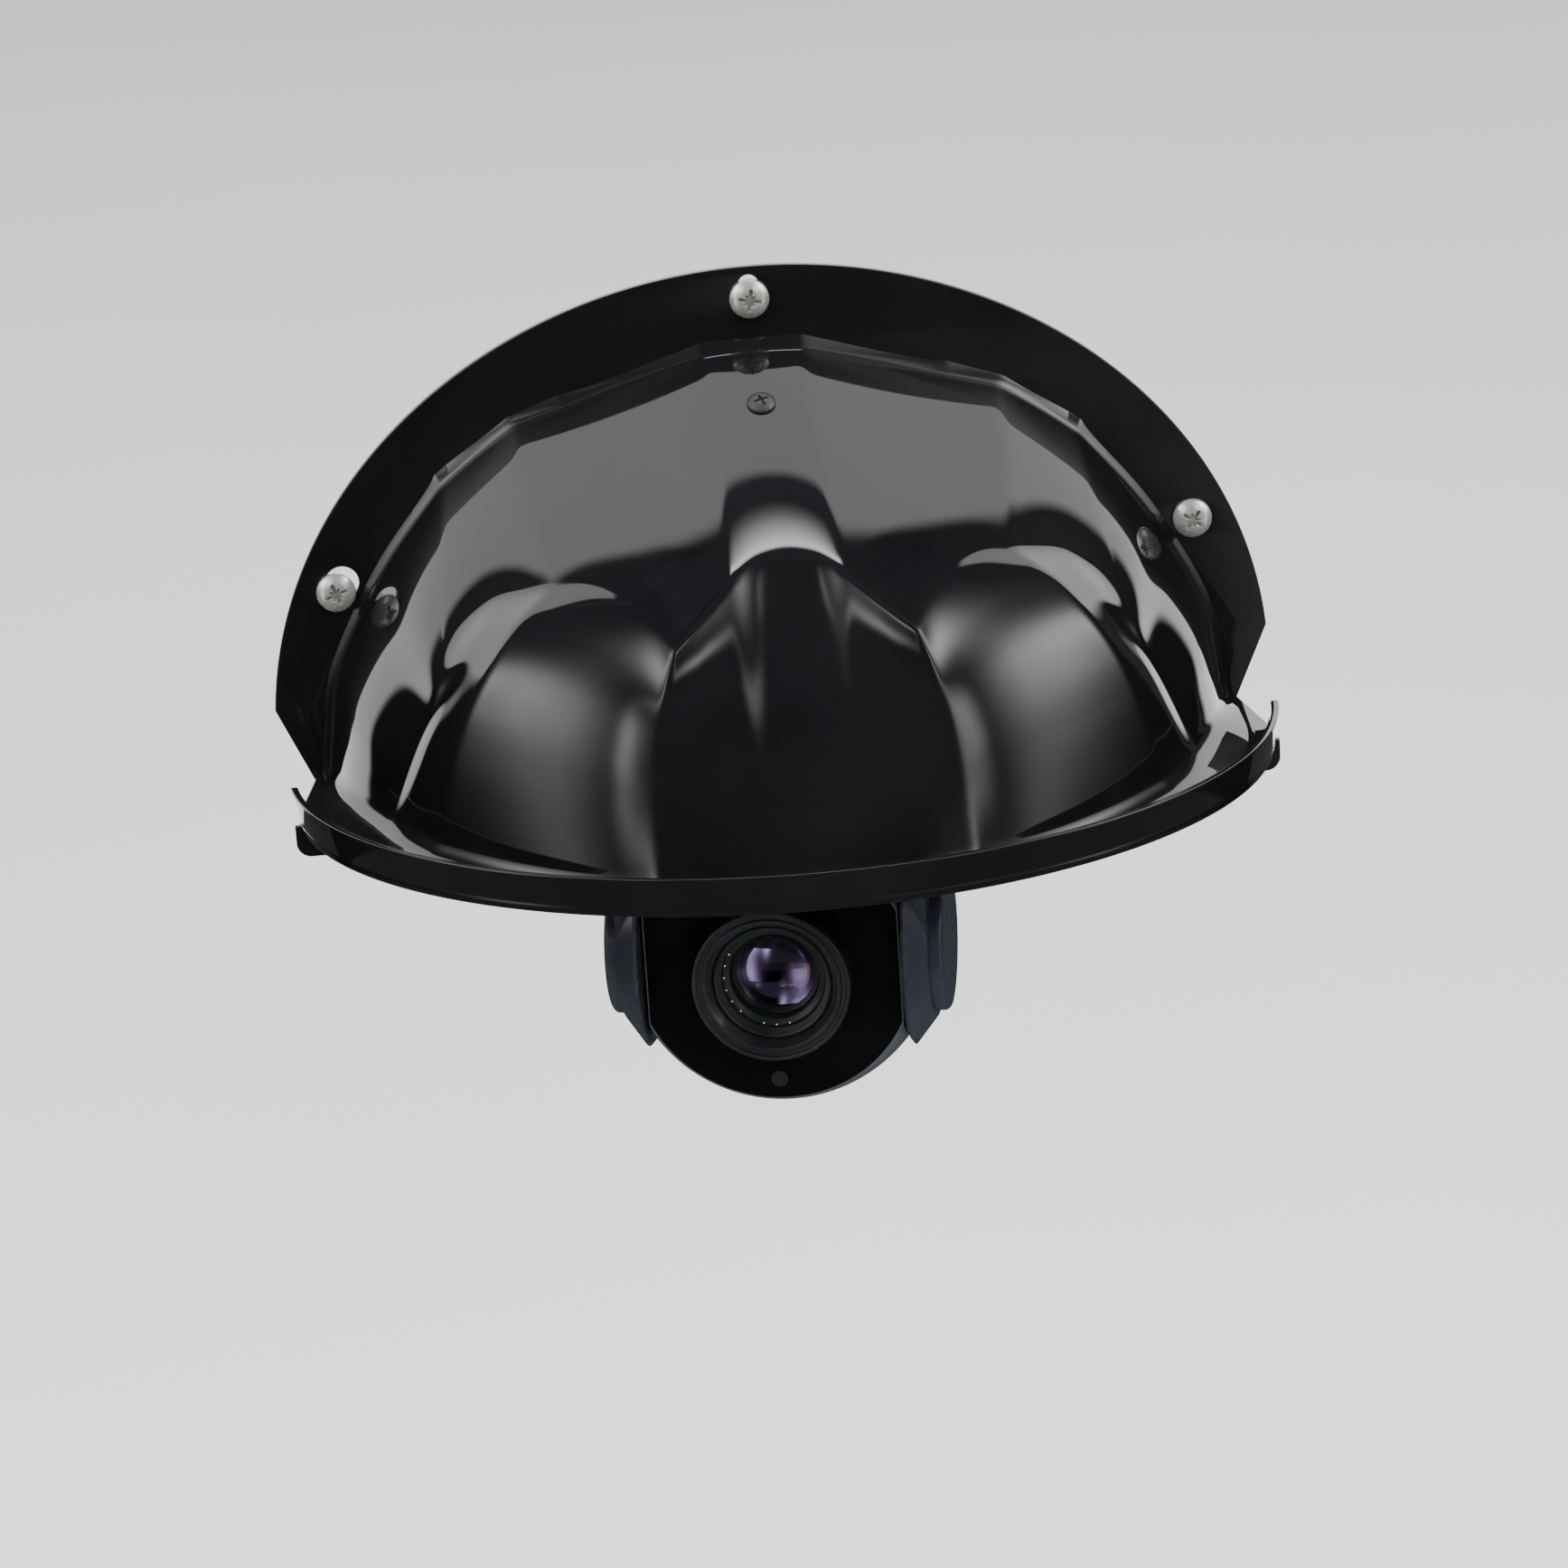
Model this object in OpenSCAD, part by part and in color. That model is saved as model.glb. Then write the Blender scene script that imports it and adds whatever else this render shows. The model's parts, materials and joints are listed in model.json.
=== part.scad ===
// Pan and tilt camera that hangs from a wall bracket under a moulded rain and sun hood.
// Origin: on the wall plane, in the hood's centre plane, level with the underside of the brim.
// +X to the right as seen from the front, +Y into the wall, +Z up.

/* [Hood] */
// Width of the hood over its wall flange
hood_w = 241.2; // [236:0.2:246]
// Height of the flange's top above the brim's underside
hood_h = 119.3; // [117:0.1:122]
// Thickness of the moulded flange and brim
hood_t = 2.4; // [2:0.1:3]
// Depth of the brim, from the wall to the lip's front
brim_d = 119.5; // [117:0.5:122]
// Height of the lip over the brim's underside
lip_h = 9.7; // [8:0.1:12]

/* [Wall screws] */
// Distance from the centre plane to each side screw
side_screw_x = 103.2; // [102:0.1:104]
// Height of the side screws
side_screw_z = 47.8; // [46:0.1:49]
// Height of the top screw
top_screw_z = 111.6; // [111:0.1:112]
// Length of each wall screw's shank
screw_l = 24; // [12:1:40]

/* [Camera] */
// Sideways place of the pan axis in the bracket's slots
pan_x = -5.2; // [-7:0.1:0]
// Distance from the wall to the pan axis
pan_d = 46; // [45:0.5:47]
// Height of the tilt axis, below the brim's underside
tilt_drop = 34.4; // [34:0.1:36]
// Radius of the ball head
ball_r = 37.8; // [37:0.1:38.2]
// Width of the head between its flat sides
head_w = 60.6; // [58:0.1:60.8]
// Radius of the round ear covers
ear_r = 17; // [15:0.5:18]
// Way the camera looks at rest, turned about the pan axis
rest_pan = -12.6; // [-30:0.1:30]

/* [Lens] */
// Outer radius of the lens bezel
bezel_r = 18.8; // [18:0.1:19.5]
// Height of the lens axis below the tilt axis
lens_drop = 3; // [2.5:0.1:3.5]

/* [Hidden] */

$fn = 96;
eps = 0.02;
// Radial gap between a turning part and a belt or cover beside it
belt_gap = 0.3;
// Radial clearance of a shaft that turns in a bush
run_gap = 0.05;

// Flange outline: an ellipse cut off along two slanting lines at its foot
flange_a = hood_w / 2;
flange_mid_z = 11.3;
flange_b = hood_h - flange_mid_z;
flange_cut_z = 19;
flange_foot_x = 112;
outline_steps = 96;

// Brim outline: the front half of an ellipse, with straight sides back to the wall
brim_mid_d = 24;
brim_a = 118.4;
brim_b = brim_d - brim_mid_d;
lip_end_d = 31.6;
lip_t = 2.2;
tab_h = 7.3;
tab_w = 9;
tab_round = 3.5;

// Corners of the dome on its right half: along the wall, over the crown, down the corner and along the brim
dome_right = [
    [11.2, 0, 101.4], [58.5, 0, 87.4], [75.9, 0, 74.6], [104.5, 0, 29.8], [109, 0, 0],
    [12, -70, 65.4], [27.7, -83.5, 53.6], [54, -58, 62.5], [79, -52.5, 51],
    [74.5, -68, 38], [84.6, -54, 31],
    [97, -48, 0], [85.5, -69, 0], [37.4, -107, 0]
];
dome_points = concat(dome_right, [for (p = dome_right) [-p[0], p[1], p[2]]]);
// The inside is the outside scaled about the origin, which keeps the two open planes in place
dome_inner = 0.97;
// Skirt: the flare at the dome's foot, which leaves a narrow gutter inside the lip
skirt_inset = 7.2;
skirt_edge_z = 3.4;
skirt_top_z = 13;
skirt_top_k = 0.9;

// The roof falls from the wall to the crown's front edge
roof_fall = atan((101.4 - 65.4) / 70);
roof_z = 101.4;
roof_screw_run = 23.3;
roof_t = 3;

// Wall screws: pan head, cross recess
screw_head_r = 4.75;
screw_head_h = 3;
screw_r = 2.4;
hole_r = 2.75;
keyhole_r = 4;

// Bracket
bracket_t = 3;
bracket_w = 84;
bracket_foot_z = -4;
bracket_top_z = 80;
tongue_w = 20;
tongue_top_z = 95.6;
roof_tab_w = 16;
shelf_z = 47;
shelf_r = 28;
wall_hole_x = 60;
wall_hole_z = 50;
wall_hole_mid_z = 38;
cable_hole_r = 12;
shelf_screw_r = 20;

// Base: floor, wall and lid, round about the pan axis
base_r = 37;
base_t = 2.5;
post_ring_r = base_r - 5.6;
post_r = 4;
lid_head_r = 2.8;
base_floor_z = 13;
base_top_z = 44;
lid_t = 3;
gasket_t = 0.8;
main_board_z = 39.6;
gland_x = 14;
gland_y = 12;
gland_r = 6;
gland_bore_r = 3.5;

// Pan bearing and drive
neck_r = 13;
neck_bore_r = 9.5;
neck_top_z = 25;
bearing_z = 13.6;
bearing_h = 5;
bearing_ball_r = 1.2;
bearing_pitch_r = 16.2;
bearing_out_r = 19.6;
bearing_balls_n = 24;
pan_pulley_r = 17;
pan_pulley_z = 20;
pulley_h = 5;
pulley_top_t = 1;
rim_t = 0.5;
neck_screw_ring_r = 11.2;
neck_screw_r = 0.8;
motor_pulley_r = 5;
pan_motor_d = 25;
motor_r = 9;
motor_h = 10;
plate_z = 26.5;
plate_sheet_t = 1.5;
motor_seat_z = plate_z + plate_sheet_t;
drive_angle = 0;
motor_shaft_r = 1.5;
motor_bore_h = 6;
belt_t = 1.2;

// Yoke
disc_r = 40;
disc_z = 5.5;
disc_h = 6;
arm_in = head_w / 2 + 0.9;
arm_out = 37;
arm_r = 25;
arm_face_r = 18.5;
column_w = 34;
ear_out = 40.3;
tilt_z = -tilt_drop;

// Head
shell_t = 2.2;
plate_y = -17.4;
plate_t = 2;
plate_r = 33;
split_y = 3;
bezel_front_y = -22.5;
barrel_r = 14.2;
head_screw_r = 0.9;
shaft_r = 4;
bush_r = 6.5;
block_w = 25;
block_y = 5;
block_l = 12;
motor_plate_l = 12.4;
standoff_h = 1.2;
board_y = block_y + block_l + standoff_h;
board_t = 1.4;
board_w = 24.4;
board_screw_r = 0.8;
fixed_pulley_r = 8;
tilt_motor_y = 13;
tilt_motor_z = 13;
tilt_motor_r = 7;
tilt_motor_h = 7.7;
tilt_shaft_pin_r = 1.2;
sensor_drop = 28.3;
sensor_r = 3;
sensor_eye_r = 2;

// ---------- frames ----------

// Frame of the base: on the pan axis, not turned
module base_frame() { translate([pan_x, -pan_d, 0]) children(); }

// Frame of the yoke: on the pan axis, turned to the rest direction
module pan_frame() { base_frame() rotate([0, 0, rest_pan]) children(); }

// Frame of the head: on the tilt axis, X along it, lens looking to -Y
module tilt_frame() { pan_frame() translate([0, 0, tilt_z]) children(); }

// Frame of the lens: on the lens axis
module lens_frame() { tilt_frame() translate([0, 0, -lens_drop]) children(); }

// Turns a shape made about +Z so that it points along -Y
module to_front() { rotate([90, 0, 0]) children(); }

// Turns a shape made about +Z so that it points along +X
module to_right() { rotate([0, 90, 0]) children(); }

// Frame on the roof at a distance down its fall, with +Z out of the roof
module roof_frame(run) {
    translate([0, -run * cos(roof_fall), roof_z - run * sin(roof_fall)]) rotate([roof_fall, 0, 0]) children();
}

// ---------- shared shapes ----------

module ring(r_out, r_in, h) {
    difference() {
        cylinder(r = r_out, h = h);
        translate([0, 0, -1]) cylinder(r = r_in, h = h + 2);
    }
}

// Pan head screw along +Z: head from 0 up, shank down from 0
module pan_screw(head_r, head_h, shank_r, shank_l, recess) {
    difference() {
        union() {
            rotate_extrude() polygon([
                [0, 0], [head_r, 0], [head_r, head_h * 0.35], [head_r * 0.9, head_h * 0.72],
                [head_r * 0.62, head_h * 0.95], [0, head_h]
            ]);
            translate([0, 0, -shank_l]) cylinder(r = shank_r, h = shank_l + eps);
        }
        for (a = [45, 135]) {
            rotate([0, 0, a]) translate([-recess, -recess * 0.2, head_h * 0.45])
                cube([2 * recess, recess * 0.4, head_h]);
        }
    }
}

// Outline of a belt round two pulleys, the second at distance c along +X
module belt_outline(r1, r2, c) {
    hull() {
        circle(r = r1);
        translate([c, 0]) circle(r = r2);
    }
}

module belt(r1, r2, c, h) {
    linear_extrude(h) difference() {
        belt_outline(r1 + belt_gap + belt_t, r2 + belt_gap + belt_t, c);
        belt_outline(r1 + belt_gap, r2 + belt_gap, c);
    }
}

// ---------- hood ----------

function ellipse_at(a, b, t) = [a * cos(t), b * sin(t)];

module flange_outline() {
    // Angle at which the ellipse meets the height of the slanting cut
    foot = asin((flange_cut_z - flange_mid_z) / flange_b);
    polygon(concat(
        [[flange_foot_x, 0]],
        [for (i = [0:outline_steps]) let (t = foot + (180 - 2 * foot) * i / outline_steps)
            ellipse_at(flange_a, flange_b, t) + [0, flange_mid_z]],
        [[-flange_foot_x, 0]]
    ));
}

// Seen from above, with the wall along X and the front towards -Y
module brim_outline(inset) {
    a = brim_a - inset;
    b = brim_b - inset;
    // Angle at which the ellipse meets the end of the lip
    end = asin((lip_end_d - brim_mid_d) / b);
    polygon(concat(
        [[flange_foot_x - inset, 0]],
        [for (i = [0:outline_steps]) let (t = end + (180 - 2 * end) * i / outline_steps)
            [a * cos(t), -brim_mid_d - b * sin(t)]],
        [[-flange_foot_x + inset, 0]]
    ));
}

module dome_body() {
    hull() polyhedron(
        points = dome_points,
        faces = [for (i = [0:len(dome_points) - 3]) [i, i + 1, i + 2]]
    );
}

module skirt() {
    hull() {
        linear_extrude(skirt_edge_z) brim_outline(skirt_inset);
        linear_extrude(skirt_top_z) scale(skirt_top_k) brim_outline(skirt_inset);
    }
}

module dome(k) {
    scale(k) {
        dome_body();
        skirt();
    }
}

module top_keyhole() {
    circle(r = keyhole_r);
    translate([-screw_r, 0]) square([2 * screw_r, 3.2]);
    translate([0, 3.2]) circle(r = screw_r);
}

module side_keyhole(big) {
    circle(r = hole_r);
    translate(big) circle(r = keyhole_r);
}

module hood_flange() {
    rotate([90, 0, 0]) linear_extrude(hood_t) difference() {
        flange_outline();
        translate([0, top_screw_z]) top_keyhole();
        translate([-side_screw_x, side_screw_z]) side_keyhole([1.6, 2]);
        translate([side_screw_x, side_screw_z]) side_keyhole([-0.4, 0.4]);
    }
}

module hood_lip() {
    linear_extrude(lip_h) intersection() {
        difference() {
            brim_outline(0);
            brim_outline(lip_t);
        }
        translate([-brim_a, -brim_d - 1]) square([2 * brim_a, brim_d + 1 - lip_end_d]);
    }
}

// Tab under each end of the lip, with its outer lower corner rounded off
module hood_end_tab(side) {
    mirror([side < 0 ? 1 : 0, 0, 0]) translate([brim_a - 0.6 - tab_w, -lip_end_d, -tab_h]) rotate([90, 0, 0])
        linear_extrude(lip_t) union() {
            square([tab_w - tab_round, tab_h + eps]);
            translate([0, tab_round]) square([tab_w, tab_h + eps - tab_round]);
            translate([tab_w - tab_round, tab_round]) circle(r = tab_round);
        }
}

module hood() {
    color([0.04, 0.04, 0.045]) difference() {
        union() {
            hood_flange();
            dome(1);
            linear_extrude(hood_t) brim_outline(0);
            hood_lip();
            for (side = [-1, 1]) hood_end_tab(side);
        }
        translate([0, 0, -eps]) dome(dome_inner);
        translate([0, eps, 0]) dome(dome_inner);
        roof_frame(roof_screw_run) translate([0, 0, -10]) cylinder(r = 2.2, h = 20);
    }
}

// ---------- fasteners of the hood ----------

module wall_screws() {
    color([0.78, 0.77, 0.74])
    for (p = [[-side_screw_x, side_screw_z, 20], [side_screw_x, side_screw_z, 55], [0, top_screw_z, -10]]) {
        translate([p[0], -hood_t, p[1]]) rotate([90, p[2], 0])
            pan_screw(screw_head_r, screw_head_h, screw_r, screw_l, 2.6);
    }
}

module roof_screw() {
    color([0.12, 0.12, 0.12]) roof_frame(roof_screw_run)
        pan_screw(3.4, 1.8, 2, 11, 1.8);
}

module roof_nut() {
    color([0.7, 0.7, 0.7]) roof_frame(roof_screw_run) translate([0, 0, -2 * roof_t - 3.6]) difference() {
        cylinder(r = 4, h = 3.2, $fn = 6);
        translate([0, 0, -1]) cylinder(r = 2, h = 6);
    }
}

// ---------- bracket ----------

module bracket_plate() {
    rotate([90, 0, 0]) linear_extrude(bracket_t) difference() {
        union() {
            translate([-bracket_w / 2, bracket_foot_z])
                square([bracket_w, bracket_top_z - bracket_foot_z]);
            translate([-tongue_w / 2, bracket_top_z - 1]) square([tongue_w, tongue_top_z - bracket_top_z + 1]);
        }
        for (x = [-1, 1], z = [-1, 1]) {
            translate([x * wall_hole_x / 2, wall_hole_mid_z + z * wall_hole_z / 2]) circle(r = hole_r);
        }
        translate([0, 66]) circle(r = cable_hole_r);
    }
}

module bracket_shelf() {
    translate([0, 0, shelf_z]) linear_extrude(bracket_t) difference() {
        union() {
            translate([-bracket_w / 2, -34]) square([bracket_w, 34]);
            translate([pan_x, -pan_d]) circle(r = shelf_r);
            translate([pan_x - shelf_r, -pan_d]) square([2 * shelf_r, 20]);
        }
        translate([pan_x, -pan_d]) {
            for (a = [90:120:330]) {
                rotate(a) translate([shelf_screw_r, 0]) circle(r = 2.2);
            }
            // Room for the heads of the two lid screws under the shelf
            for (a = [45, 135]) {
                rotate(a) translate([post_ring_r, 0]) circle(r = lid_head_r + 0.6);
            }
            translate([gland_x, gland_y]) circle(r = gland_r + 3);
        }
    }
}

module bracket_gusset(side) {
    translate([side * (bracket_w / 2 - bracket_t / 2) - bracket_t / 2, 0, shelf_z + bracket_t - eps])
        rotate([90, 0, 90]) linear_extrude(bracket_t) polygon([[0, 0], [-32, 0], [-1, 30], [0, 30]]);
}

module wall_bracket() {
    color([0.55, 0.56, 0.58]) {
        difference() {
            union() {
                bracket_plate();
                bracket_shelf();
                for (side = [-1, 1]) bracket_gusset(side);
                roof_frame(0) translate([-roof_tab_w / 2, -32, -2 * roof_t - 0.1])
                    cube([roof_tab_w, 26.4, roof_t]);
            }
            roof_frame(roof_screw_run) translate([0, 0, -12]) cylinder(r = 2.2, h = 14);
        }
    }
}

module bracket_screws() {
    color("silver") base_frame() for (a = [90:120:330]) {
        rotate([0, 0, a]) translate([shelf_screw_r, 0, shelf_z + bracket_t])
            pan_screw(3.5, 2.2, 2, bracket_t + lid_t - eps, 1.8);
    }
}

// ---------- base ----------

module base_lid() {
    color([0.16, 0.16, 0.17]) base_frame() translate([0, 0, base_top_z]) difference() {
        cylinder(r = base_r - 0.6, h = lid_t);
        for (a = [90:120:330]) {
            rotate([0, 0, a]) translate([shelf_screw_r, 0, -1]) cylinder(r = 2, h = lid_t + 2);
        }
        for (a = [45:90:315]) {
            rotate([0, 0, a]) translate([post_ring_r, 0, -1]) cylinder(r = 1.7, h = lid_t + 2);
        }
        translate([gland_x, gland_y, -1]) cylinder(r = gland_r, h = lid_t + 2);
    }
}

module base_gasket() {
    color([0.2, 0.2, 0.2]) base_frame() translate([0, 0, base_top_z - gasket_t]) difference() {
        ring(base_r - 0.8, base_r - base_t - 0.4, gasket_t);
        for (a = [45:90:315]) {
            rotate([0, 0, a]) translate([post_ring_r, 0, -1]) cylinder(r = post_r + 0.2, h = 3);
        }
    }
}

module base_housing() {
    color([0.13, 0.13, 0.14]) base_frame() difference() {
        union() {
            rotate_extrude() polygon([
                [bearing_out_r, base_floor_z], [base_r - 3, base_floor_z], [base_r, base_floor_z + 3],
                [base_r, base_top_z - gasket_t], [base_r - base_t, base_top_z - gasket_t],
                [base_r - base_t, base_floor_z + base_t], [bearing_out_r + base_t, base_floor_z + base_t],
                [bearing_out_r + base_t, bearing_z + bearing_h], [bearing_out_r, bearing_z + bearing_h]
            ]);
            for (a = [45:90:315]) {
                rotate([0, 0, a]) translate([post_ring_r, 0, base_floor_z + 1])
                    cylinder(r = post_r, h = base_top_z - base_floor_z - 1);
            }
        }
        for (a = [45:90:315]) {
            rotate([0, 0, a]) translate([post_ring_r, 0, base_top_z - 12]) cylinder(r = 1.5, h = 20);
        }
    }
}

module lid_screws() {
    color("silver") base_frame() for (a = [45:90:315]) {
        rotate([0, 0, a]) translate([post_ring_r, 0, base_top_z + lid_t])
            pan_screw(lid_head_r, 1.7, 1.5, 10, 1.4);
    }
}

module cable_gland() {
    color([0.1, 0.1, 0.1]) base_frame() translate([gland_x, gland_y, base_top_z - 3]) difference() {
        union() {
            cylinder(r = gland_r, h = 18);
            translate([0, 0, lid_t + 3]) cylinder(r = gland_r + 2, h = 3, $fn = 6);
        }
        translate([0, 0, -1]) cylinder(r = gland_bore_r, h = 22);
    }
}

module gland_nut() {
    color([0.1, 0.1, 0.1]) base_frame() translate([gland_x, gland_y, base_top_z + lid_t + 5]) difference() {
        union() {
            cylinder(r = gland_r + 2, h = 7, $fn = 6);
            rotate_extrude() polygon([
                [gland_r, 7 - eps], [gland_r + 1.6, 7 - eps], [gland_r - 0.4, 11], [gland_bore_r, 11],
                [gland_bore_r, 10.2], [gland_r, 9]
            ]);
        }
        translate([0, 0, -1]) cylinder(r = gland_r, h = 10);
    }
}

module main_board() {
    color([0.05, 0.3, 0.15]) base_frame() translate([0, 0, main_board_z]) {
        difference() {
            cylinder(r = base_r - base_t - 1.5, h = board_t);
            for (a = [45:90:315]) {
                rotate([0, 0, a]) translate([post_ring_r, 0, -1]) cylinder(r = post_r + 0.5, h = 4);
            }
            translate([gland_x, gland_y, -1]) cylinder(r = gland_r + 1, h = 4);
        }
        translate([0, 0, board_t - eps]) {
            translate([-16, -14, 0]) cube([12, 12, 1.3]);
            translate([4, -20, 0]) cube([8, 6, 1.1]);
            translate([-12, 12, 0]) cube([10, 5, 1.4]);
        }
    }
}

module drive_plate() {
    color([0.6, 0.6, 0.62]) base_frame() difference() {
        union() {
            translate([0, 0, plate_z]) cylinder(r = base_r - base_t - 1.5, h = plate_sheet_t);
            for (a = [0:120:240]) {
                rotate([0, 0, a + drive_angle + 60]) translate([30, 0, base_floor_z + base_t])
                    cylinder(r = 2.5, h = 12);
            }
        }
        for (a = [45:90:315]) {
            rotate([0, 0, a]) translate([post_ring_r, 0, 10]) cylinder(r = post_r + 0.5, h = 30);
        }
        translate([0, 0, 20]) cylinder(r = neck_r + 0.6, h = 12);
        rotate([0, 0, drive_angle]) translate([pan_motor_d, 0, 20]) cylinder(r = 2.8, h = 12);
    }
}

// Motors have a bore for the shaft, which is one piece with its pulley
module pan_motor() {
    color([0.6, 0.6, 0.58]) base_frame() rotate([0, 0, drive_angle]) translate([pan_motor_d, 0, motor_seat_z])
        difference() {
            union() {
                cylinder(r = motor_r, h = motor_h);
                translate([0, 0, -1.4]) cylinder(r = 2.8, h = 1.4 + eps);
            }
            translate([0, 0, -2]) cylinder(r = motor_shaft_r + run_gap, h = 2 + motor_bore_h);
        }
}

module pan_belt() {
    color([0.08, 0.08, 0.08]) base_frame() rotate([0, 0, drive_angle]) translate([0, 0, pan_pulley_z + 0.8])
        belt(pan_pulley_r, motor_pulley_r, pan_motor_d, pulley_h - 1.6);
}

module pan_motor_pulley() {
    color([0.85, 0.75, 0.45]) base_frame() rotate([0, 0, drive_angle])
        translate([pan_motor_d, 0, pan_pulley_z]) {
            cylinder(r = motor_pulley_r, h = pulley_h);
            cylinder(r = motor_pulley_r + 1, h = rim_t);
            translate([0, 0, pulley_h - rim_t]) cylinder(r = motor_pulley_r + 1, h = rim_t);
            cylinder(r = motor_shaft_r, h = motor_seat_z + motor_bore_h - 0.5 - pan_pulley_z);
            // Mark on the hub that shows how far it has turned
            translate([motor_pulley_r - 2, -0.6, -1]) cube([2, 1.2, 1.2]);
        }
}

module bearing_groove() { translate([bearing_pitch_r, bearing_h / 2]) circle(r = bearing_ball_r + 0.1); }

module pan_bearing_outer() {
    color("silver") base_frame() translate([0, 0, bearing_z]) rotate_extrude() difference() {
        translate([bearing_pitch_r + 0.7, 0]) square([bearing_out_r - bearing_pitch_r - 0.7, bearing_h]);
        bearing_groove();
    }
}

module pan_bearing_inner() {
    color("silver") base_frame() translate([0, 0, bearing_z]) rotate_extrude() difference() {
        translate([neck_r, 0]) square([bearing_pitch_r - 0.7 - neck_r, bearing_h]);
        bearing_groove();
    }
}

module bearing_balls() {
    color("gainsboro") base_frame() for (i = [0:bearing_balls_n - 1]) {
        rotate([0, 0, i * 360 / bearing_balls_n]) translate([bearing_pitch_r, 0, bearing_z + bearing_h / 2])
            sphere(r = bearing_ball_r, $fn = 24);
    }
}

// ---------- yoke ----------

// One arm, on the right of the head: a round end with a sloping edge, and a column up to the disc
module yoke_arm() {
    translate([0, 0, tilt_z]) to_right() rotate_extrude() polygon([
        [0, arm_in], [arm_r - 1, arm_in], [arm_r, arm_in + 0.8], [arm_face_r, arm_out], [0, arm_out]
    ]);
    translate([arm_in, -column_w / 2, tilt_z + 1]) cube([arm_out - arm_in, column_w, disc_z - tilt_z]);
}

// Room in an arm for the end of the tilt shaft, closed by the ear cover
module arm_pocket() {
    translate([0, 0, tilt_z]) to_right() {
        translate([0, 0, arm_in + 2.2]) cylinder(r = 12, h = 10);
        translate([0, 0, arm_in - 1]) cylinder(r = shaft_r, h = 10);
    }
}

module yoke() {
    color([0.16, 0.17, 0.19]) pan_frame() difference() {
        union() {
            translate([0, 0, disc_z]) rotate_extrude() polygon([
                [0, 0], [disc_r - 2, 0], [disc_r, 2], [disc_r, disc_h], [0, disc_h]
            ]);
            translate([0, 0, disc_z]) cylinder(r = neck_r, h = neck_top_z - disc_z);
            yoke_arm();
            mirror([1, 0, 0]) yoke_arm();
        }
        translate([0, 0, disc_z - 1]) cylinder(r = neck_bore_r, h = 40);
        for (a = [0:120:240]) {
            rotate([0, 0, a]) translate([neck_screw_ring_r, 0, neck_top_z - 5]) cylinder(r = neck_screw_r, h = 6);
        }
        arm_pocket();
        mirror([1, 0, 0]) arm_pocket();
    }
}

module pan_pulley() {
    color([0.9, 0.9, 0.86]) pan_frame() translate([0, 0, pan_pulley_z]) difference() {
        union() {
            cylinder(r = pan_pulley_r, h = pulley_h);
            cylinder(r = pan_pulley_r + 1, h = rim_t);
            translate([0, 0, pulley_h - rim_t]) cylinder(r = pan_pulley_r + 1, h = rim_t);
            translate([0, 0, pulley_h - eps]) cylinder(r = neck_r + 1.5, h = pulley_top_t + eps);
        }
        translate([0, 0, -1]) cylinder(r = neck_r, h = pulley_h + 1);
        cylinder(r = neck_bore_r, h = 20);
        for (a = [0:120:240]) {
            rotate([0, 0, a]) translate([neck_screw_ring_r, 0, 0]) cylinder(r = neck_screw_r, h = 20);
        }
    }
}

module pulley_screws() {
    color("silver") pan_frame() for (a = [0:120:240]) {
        rotate([0, 0, a]) translate([neck_screw_ring_r, 0, neck_top_z + pulley_top_t])
            pan_screw(1.4, 0.9, neck_screw_r, 4, 0.7);
    }
}

module ear_cover() {
    translate([0, 0, tilt_z]) to_right() rotate_extrude() polygon(concat(
        [[0, arm_out], [ear_r, arm_out], [ear_r, ear_out - 1.4]],
        [for (i = [1:5]) [ear_r - 1.4 + 1.4 * cos(i * 18), ear_out - 1.4 + 1.4 * sin(i * 18)]],
        [[0, ear_out]]
    ));
}

module ear_cover_left() { color([0.19, 0.2, 0.23]) pan_frame() mirror([1, 0, 0]) ear_cover(); }

module ear_cover_right() { color([0.19, 0.2, 0.23]) pan_frame() ear_cover(); }

// Shaft from the arm into the head; the left one ends in the pulley that the tilt belt climbs on
module tilt_shaft() {
    to_right() {
        translate([0, 0, head_w / 2 - 6]) cylinder(r = shaft_r, h = arm_in + 5 - head_w / 2 + 6);
        translate([0, 0, head_w / 2 + 0.35]) cylinder(r = 7, h = arm_in - head_w / 2 - 0.35);
    }
}

module tilt_shaft_left() {
    color([0.9, 0.9, 0.86]) tilt_frame() mirror([1, 0, 0]) difference() {
        union() {
            tilt_shaft();
            to_right() translate([0, 0, head_w / 2 - 9]) {
                cylinder(r = fixed_pulley_r, h = 4);
                cylinder(r = fixed_pulley_r + 0.8, h = 0.5);
            }
        }
        to_right() translate([0, 0, 10]) cylinder(r = 1.8, h = 40);
    }
}

module tilt_shaft_right() {
    color([0.7, 0.7, 0.7]) tilt_frame() difference() {
        tilt_shaft();
        to_right() translate([0, 0, 10]) cylinder(r = 2.6, h = 40);
    }
}

module shaft_nuts() {
    color("silver") tilt_frame() for (side = [0, 1]) mirror([side, 0, 0]) to_right()
        translate([0, 0, arm_in + 2.2]) difference() {
            cylinder(r = 7, h = 2.4, $fn = 6);
            translate([0, 0, -1]) cylinder(r = shaft_r, h = 5);
        }
}

// ---------- head ----------

module head_solid(r, w) {
    intersection() {
        sphere(r = r, $fn = 128);
        translate([-w / 2, -r - 1, -r - 1]) cube([w, 2 * r + 2, 2 * r + 2]);
    }
}

module head_shell() {
    difference() {
        head_solid(ball_r, head_w);
        head_solid(ball_r - shell_t, head_w - 2 * shell_t);
        to_right() translate([0, 0, -50]) cylinder(r = bush_r, h = 100);
    }
}

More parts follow.
